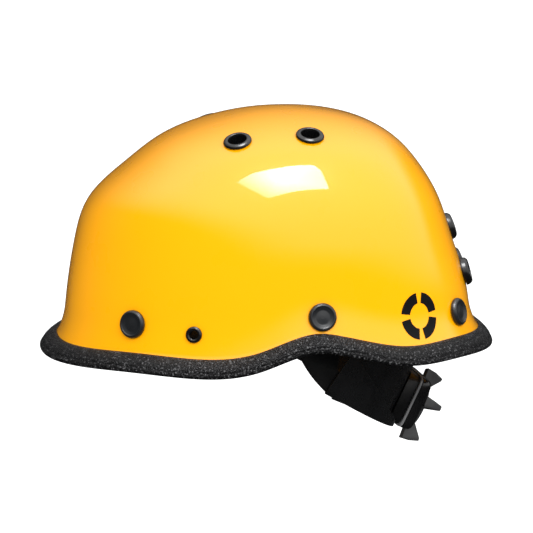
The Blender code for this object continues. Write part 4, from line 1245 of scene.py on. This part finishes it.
def inflated(item):
    """Swell a pad with cloth under pressure; no point moves further than PAD_SWELL."""
    remesh = item.modifiers.new("voxels", "REMESH")
    remesh.mode = "VOXEL"
    remesh.voxel_size = PAD_VOXEL
    settle(item, 180)
    start = np.array([v.co for v in item.data.vertices])
    cloth = item.modifiers.new("swell", "CLOTH")
    cloth.settings.use_pressure = True
    cloth.settings.uniform_pressure_force = PAD_PRESSURE
    cloth.settings.quality = 6
    cloth.settings.mass = 0.15
    cloth.settings.tension_stiffness = 12
    cloth.settings.compression_stiffness = 12
    cloth.settings.shear_stiffness = 6
    cloth.settings.bending_stiffness = 0.3
    cloth.settings.effector_weights.gravity = 0.0
    scene = bpy.context.scene
    for step in range(1, PAD_FRAMES + 1):
        scene.frame_set(step)
    depsgraph = bpy.context.evaluated_depsgraph_get()
    swollen = item.evaluated_get(depsgraph).to_mesh()
    end = np.array([v.co for v in swollen.vertices])
    item.modifiers.clear()
    scene.frame_set(1)
    move = end - start
    length = np.linalg.norm(move, axis=1)
    move *= np.minimum(1.0, PAD_SWELL / np.maximum(length, 1e-9))[:, None]
    item.data.vertices.foreach_set("co", (start + move).astype(np.float32).ravel())
    smooth = item.modifiers.new("even", "SMOOTH")
    smooth.factor = 0.5
    smooth.iterations = 4
    subdivide = item.modifiers.new("fine", "SUBSURF")
    subdivide.levels = 1
    subdivide.render_levels = 1
    return settle(item, 180)


def sewn(item, depth_at):
    """Pull a pad's surface in along sewn channels; depth_at(point, normal) gives the move."""
    spots = [(vertex.co.copy(), vertex.normal.copy()) for vertex in item.data.vertices]
    for vertex, (point, normal) in zip(item.data.vertices, spots):
        vertex.co = point - normal * depth_at(point, normal)
    item.data.update()


def channel_depth(gaps, edge):
    """How far a pad is pulled in, from the gaps to its sewn channels and to its edge."""
    depth = max(exp(-(gap / 0.0016) ** 2) for gap in gaps)
    return CHANNEL_DEPTH * max(depth, exp(-((edge - 0.0035) / 0.0011) ** 2))


def make_sweatband():
    outer = -BAND_THICK / 2 - GAP * 2 - 0.0006
    start = radians(29)
    sections = []
    for turn in np.linspace(start, pi - start, 60):
        near = band_point(turn, outer - 0.0036)
        far = band_point(turn, outer)
        low = BAND_LOW + 0.0028
        high = BAND_HIGH - 0.0038
        sections.append([(*near, low), (*far, low), (*far, high), (*near, high)])
    pad = piece("brow_pad", loft(sections), PAD, "helmet", ["brow_sweatband"])
    inflated(pad)

    def depth_at(point, normal):
        turn = atan2(-point.y / BAND_REACH, point.x / BAND_HALF_WIDTH)
        reach = hypot(point.x, point.y)
        inward = -(point.x * normal.x + point.y * normal.y) / max(reach, 1e-6)
        if inward < 0.2:
            return 0.0
        gaps = [abs(turn - middle) * 0.095 for middle in np.linspace(start, pi - start, 7)[1:-1]]
        return channel_depth(gaps, min(point.z - BAND_LOW - 0.0028, BAND_HIGH - 0.0038 - point.z))

    sewn(pad, depth_at)


def make_nape_pad():
    limit = radians(41)
    edges = (NAPE_LOW + 0.0032, NAPE_HIGH - 0.0092)
    mesh = nape_strip(np.linspace(-limit, limit, 60), -0.004, 0.0034, lambda x, y: edges)
    pad = piece("nape_cushion", mesh, PAD, "nape_unit", ["nape_pad"], NAPE)
    inflated(pad)
    back = NAPE.inverted()

    def depth_at(point, normal):
        local = back @ point
        inward = -(back.to_3x3() @ normal).y
        if inward < 0.2:
            return 0.0
        gaps = [abs(local.x - middle) for middle in (-0.034, -0.017, 0.0, 0.017, 0.034)]
        return channel_depth(gaps, min(local.z - NAPE_LOW - 0.0032, NAPE_HIGH - 0.0092 - local.z))

    sewn(pad, depth_at)


# --- graphic ---


def make_graphic():
    """A plain ring badge in four parts, laid on the skin."""
    shell = bpy.data.objects["shell_skin"]
    tree = BVHTree.FromObject(shell, bpy.context.evaluated_depsgraph_get())
    spot = skin_frame(30.7, 0.0275)
    mesh = bmesh.new()
    for quarter in range(4):
        first = radians(90 * quarter + 9)
        last = radians(90 * quarter + 81)
        grid = []
        for i in range(19):
            angle = first + (last - first) * i / 18
            row = []
            for j in range(7):
                radius = 0.008 + 0.007 * j / 6
                flat = spot @ Vector((radius * cos(angle), radius * sin(angle), 0.004))
                hit = tree.find_nearest(flat)
                row.append(mesh.verts.new(hit[0] + hit[1] * 0.00015))
            grid.append(row)
        for i in range(18):
            for j in range(6):
                mesh.faces.new((grid[i][j], grid[i + 1][j], grid[i + 1][j + 1], grid[i][j + 1]))
    item = piece("ring_badge", mesh, INK, "helmet", degrees=180)
    thick = item.modifiers.new("film", "SOLIDIFY")
    thick.thickness = 0.00008
    thick.offset = 1.0
    settle(item)


# --- stage, light and camera ---


def smooth_step(tree, value, low, high):
    node = add_node(tree, "MapRange", {"From Min": low, "From Max": high, "Value": value})
    node.interpolation_type = "SMOOTHSTEP"
    return node.outputs["Result"]


def make_world():
    """White for the camera, and an even light with a dimmer front."""
    world = bpy.data.worlds.new("studio")
    bpy.context.scene.world = world
    world.use_nodes = True
    world.cycles_visibility.glossy = False
    tree = world.node_tree
    split = add_node(tree, "SeparateXYZ", {0: coordinates(tree, "Generated")})
    front = smooth_step(tree, maths(tree, "MULTIPLY", split.outputs[1], -1.0), 0.35, 0.95)
    level = maths(tree, "SUBTRACT", WORLD_LEVEL, maths(tree, "MULTIPLY", front, FRONT_DROP))
    camera = tree.nodes.new("ShaderNodeLightPath").outputs["Is Camera Ray"]
    seen = maths(tree, "MAXIMUM", level, maths(tree, "MULTIPLY", camera, CAMERA_LEVEL))
    tree.links.new(seen, tree.nodes["Background"].inputs["Strength"])
    tree.nodes["Background"].inputs["Color"].default_value = (1, 1, 1, 1)


def stage_object(name, mesh):
    item = new_object(name, mesh_data(mesh, name))
    return item


def make_screen(name, mesh, glow_of):
    """A glowing surface that only reflections see; glow_of(tree) gives its strength."""
    screen = stage_object(name, mesh)
    screen.visible_camera = False
    screen.visible_diffuse = False
    screen.visible_transmission = False
    screen.visible_shadow = False
    material = bpy.data.materials.new(name + "_screen")
    material.use_nodes = True
    tree = material.node_tree
    tree.nodes.remove(tree.nodes["Principled BSDF"])
    emission = add_node(tree, "Emission", {"Strength": glow_of(tree)})
    tree.links.new(emission.outputs[0], tree.nodes["Material Output"].inputs["Surface"])
    screen.data.materials.append(material)


def dome_glow(tree):
    """Bright overhead and ahead, dark below, behind and on the far side."""
    heading = add_node(tree, "VectorMath", {0: coordinates(tree)}, "NORMALIZE")
    x, y, z = add_node(tree, "SeparateXYZ", {0: heading.outputs[0]}).outputs
    high = smooth_step(tree, z, -0.03, 0.16)
    forward = maths(tree, "ADD", maths(tree, "MULTIPLY", y, 0.633), maths(tree, "MULTIPLY", z, 0.763))
    ahead = smooth_step(tree, forward, -0.14, 0.3)
    behind = maths(tree, "SUBTRACT", maths(tree, "MULTIPLY", y, 0.8), maths(tree, "MULTIPLY", x, 0.6))
    rear = smooth_step(tree, behind, 0.8, 0.95)
    away = smooth_step(tree, x, -1.08, -0.15)
    lit = maths(tree, "MULTIPLY", maths(tree, "MULTIPLY", high, ahead), maths(tree, "SUBTRACT", 1.0, rear))
    level = maths(tree, "ADD", maths(tree, "MULTIPLY", z, 1.15), 1.0)
    glow = maths(tree, "MULTIPLY", maths(tree, "MULTIPLY", lit, away), level)
    return maths(tree, "ADD", glow, DOME_REST)


def make_dome():
    """The soft overhead screen that glossy surfaces mirror."""
    mesh = bmesh.new()
    bmesh.ops.create_uvsphere(mesh, u_segments=32, v_segments=20, radius=4.0)
    make_screen("dome", mesh, dome_glow)


def window_glow(tree):
    attribute = tree.nodes.new("ShaderNodeAttribute")
    attribute.attribute_name = "glow"
    return maths(tree, "MULTIPLY", attribute.outputs["Fac"], WINDOW_GLOW)


def make_window():
    """A bright screen, fading towards one corner, that the shell's shoulder mirrors."""
    mesh = bmesh.new()
    layer = mesh.verts.layers.float.new("glow")
    ring = []
    for x, y, z, glow in WINDOW:
        vertex = mesh.verts.new((x, y, z))
        vertex[layer] = glow
        ring.append(vertex)
    middle = mesh.verts.new(sum((vertex.co for vertex in ring), Vector()) / len(ring))
    middle[layer] = 1.15
    for i, vertex in enumerate(ring):
        mesh.faces.new((middle, vertex, ring[(i + 1) % len(ring)]))
    make_screen("window", mesh, window_glow)


def make_floor():
    """A pale floor that is clear from below."""
    mesh = bmesh.new()
    corners = [(-30, -30), (6, -30), (6, 30), (-30, 30)]
    mesh.faces.new([mesh.verts.new((x, y, FLOOR_HEIGHT)) for x, y in corners])
    floor = stage_object("floor", mesh)
    floor.visible_glossy = False
    floor.visible_diffuse = False
    material = new_material("floor_white", (0.92, 0.92, 0.92), 0.8, specular=0.0)
    tree = material.node_tree
    shader = tree.nodes["Principled BSDF"]
    shader.inputs["Emission Color"].default_value = (1, 1, 1, 1)
    shader.inputs["Emission Strength"].default_value = 0.35
    through = tree.nodes.new("ShaderNodeBsdfTransparent").outputs[0]
    below = tree.nodes.new("ShaderNodeNewGeometry").outputs["Backfacing"]
    mix = add_node(tree, "MixShader", {0: below, 1: shader.outputs[0], 2: through})
    tree.links.new(mix.outputs[0], tree.nodes["Material Output"].inputs["Surface"])
    floor.data.materials.append(material)


def make_key():
    """A broad soft light that only diffuse surfaces see."""
    light = bpy.data.lights.new("key", "AREA")
    light.shape = "RECTANGLE"
    light.size = 2.2
    light.size_y = 1.6
    light.energy = KEY_WATTS
    lamp = new_object("key", light)
    lamp.location = KEY_PLACE
    lamp.visible_glossy = False
    lamp.rotation_mode = "QUATERNION"
    lamp.rotation_quaternion = (Vector((0.0, 0.0, 0.06)) - KEY_PLACE).to_track_quat("-Z", "Y")


def make_camera():
    lean = radians(10)
    rise = radians(9)
    back = Vector((cos(rise) * cos(lean), -cos(rise) * sin(lean), sin(rise)))
    target = Vector((0, 0, 0.06))
    distance = 2.0
    data = bpy.data.cameras.new("camera")
    data.sensor_width = 36
    data.lens = 1.49 * 1000 * distance / 533 * 36
    data.shift_x = -0.82 / 533
    data.shift_y = -21.08 / 533
    camera = new_object("camera", data)
    camera.location = target + back * distance
    camera.rotation_mode = "QUATERNION"
    camera.rotation_quaternion = (-back).to_track_quat("-Z", "Y")
    bpy.context.scene.camera = camera


def carry_over():
    """Materials for the CAD nodes that stay as they are."""
    for name in ("ratchet_pinion", "rack_upper", "rack_lower"):
        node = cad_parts[name]
        for slot in node.material_slots:
            slot.material = WHITE_NYLON


bpy.context.scene.view_settings.view_transform = "Standard"
make_camera()
make_world()
make_floor()
make_dome()
make_window()
make_key()
for make in (
    make_shell, make_trim, make_liner, make_vents, make_plugs, make_eyelets, make_graphic, make_crown_straps,
    make_chin_straps, make_rear_straps, make_sliders, make_buckle, make_headband, make_hangers, make_pivot_pins,
    make_nape_band, make_wings, make_arms, make_ratchet, make_knob, make_click_ring, make_sweatband, make_nape_pad,
    carry_over,
):
    make()
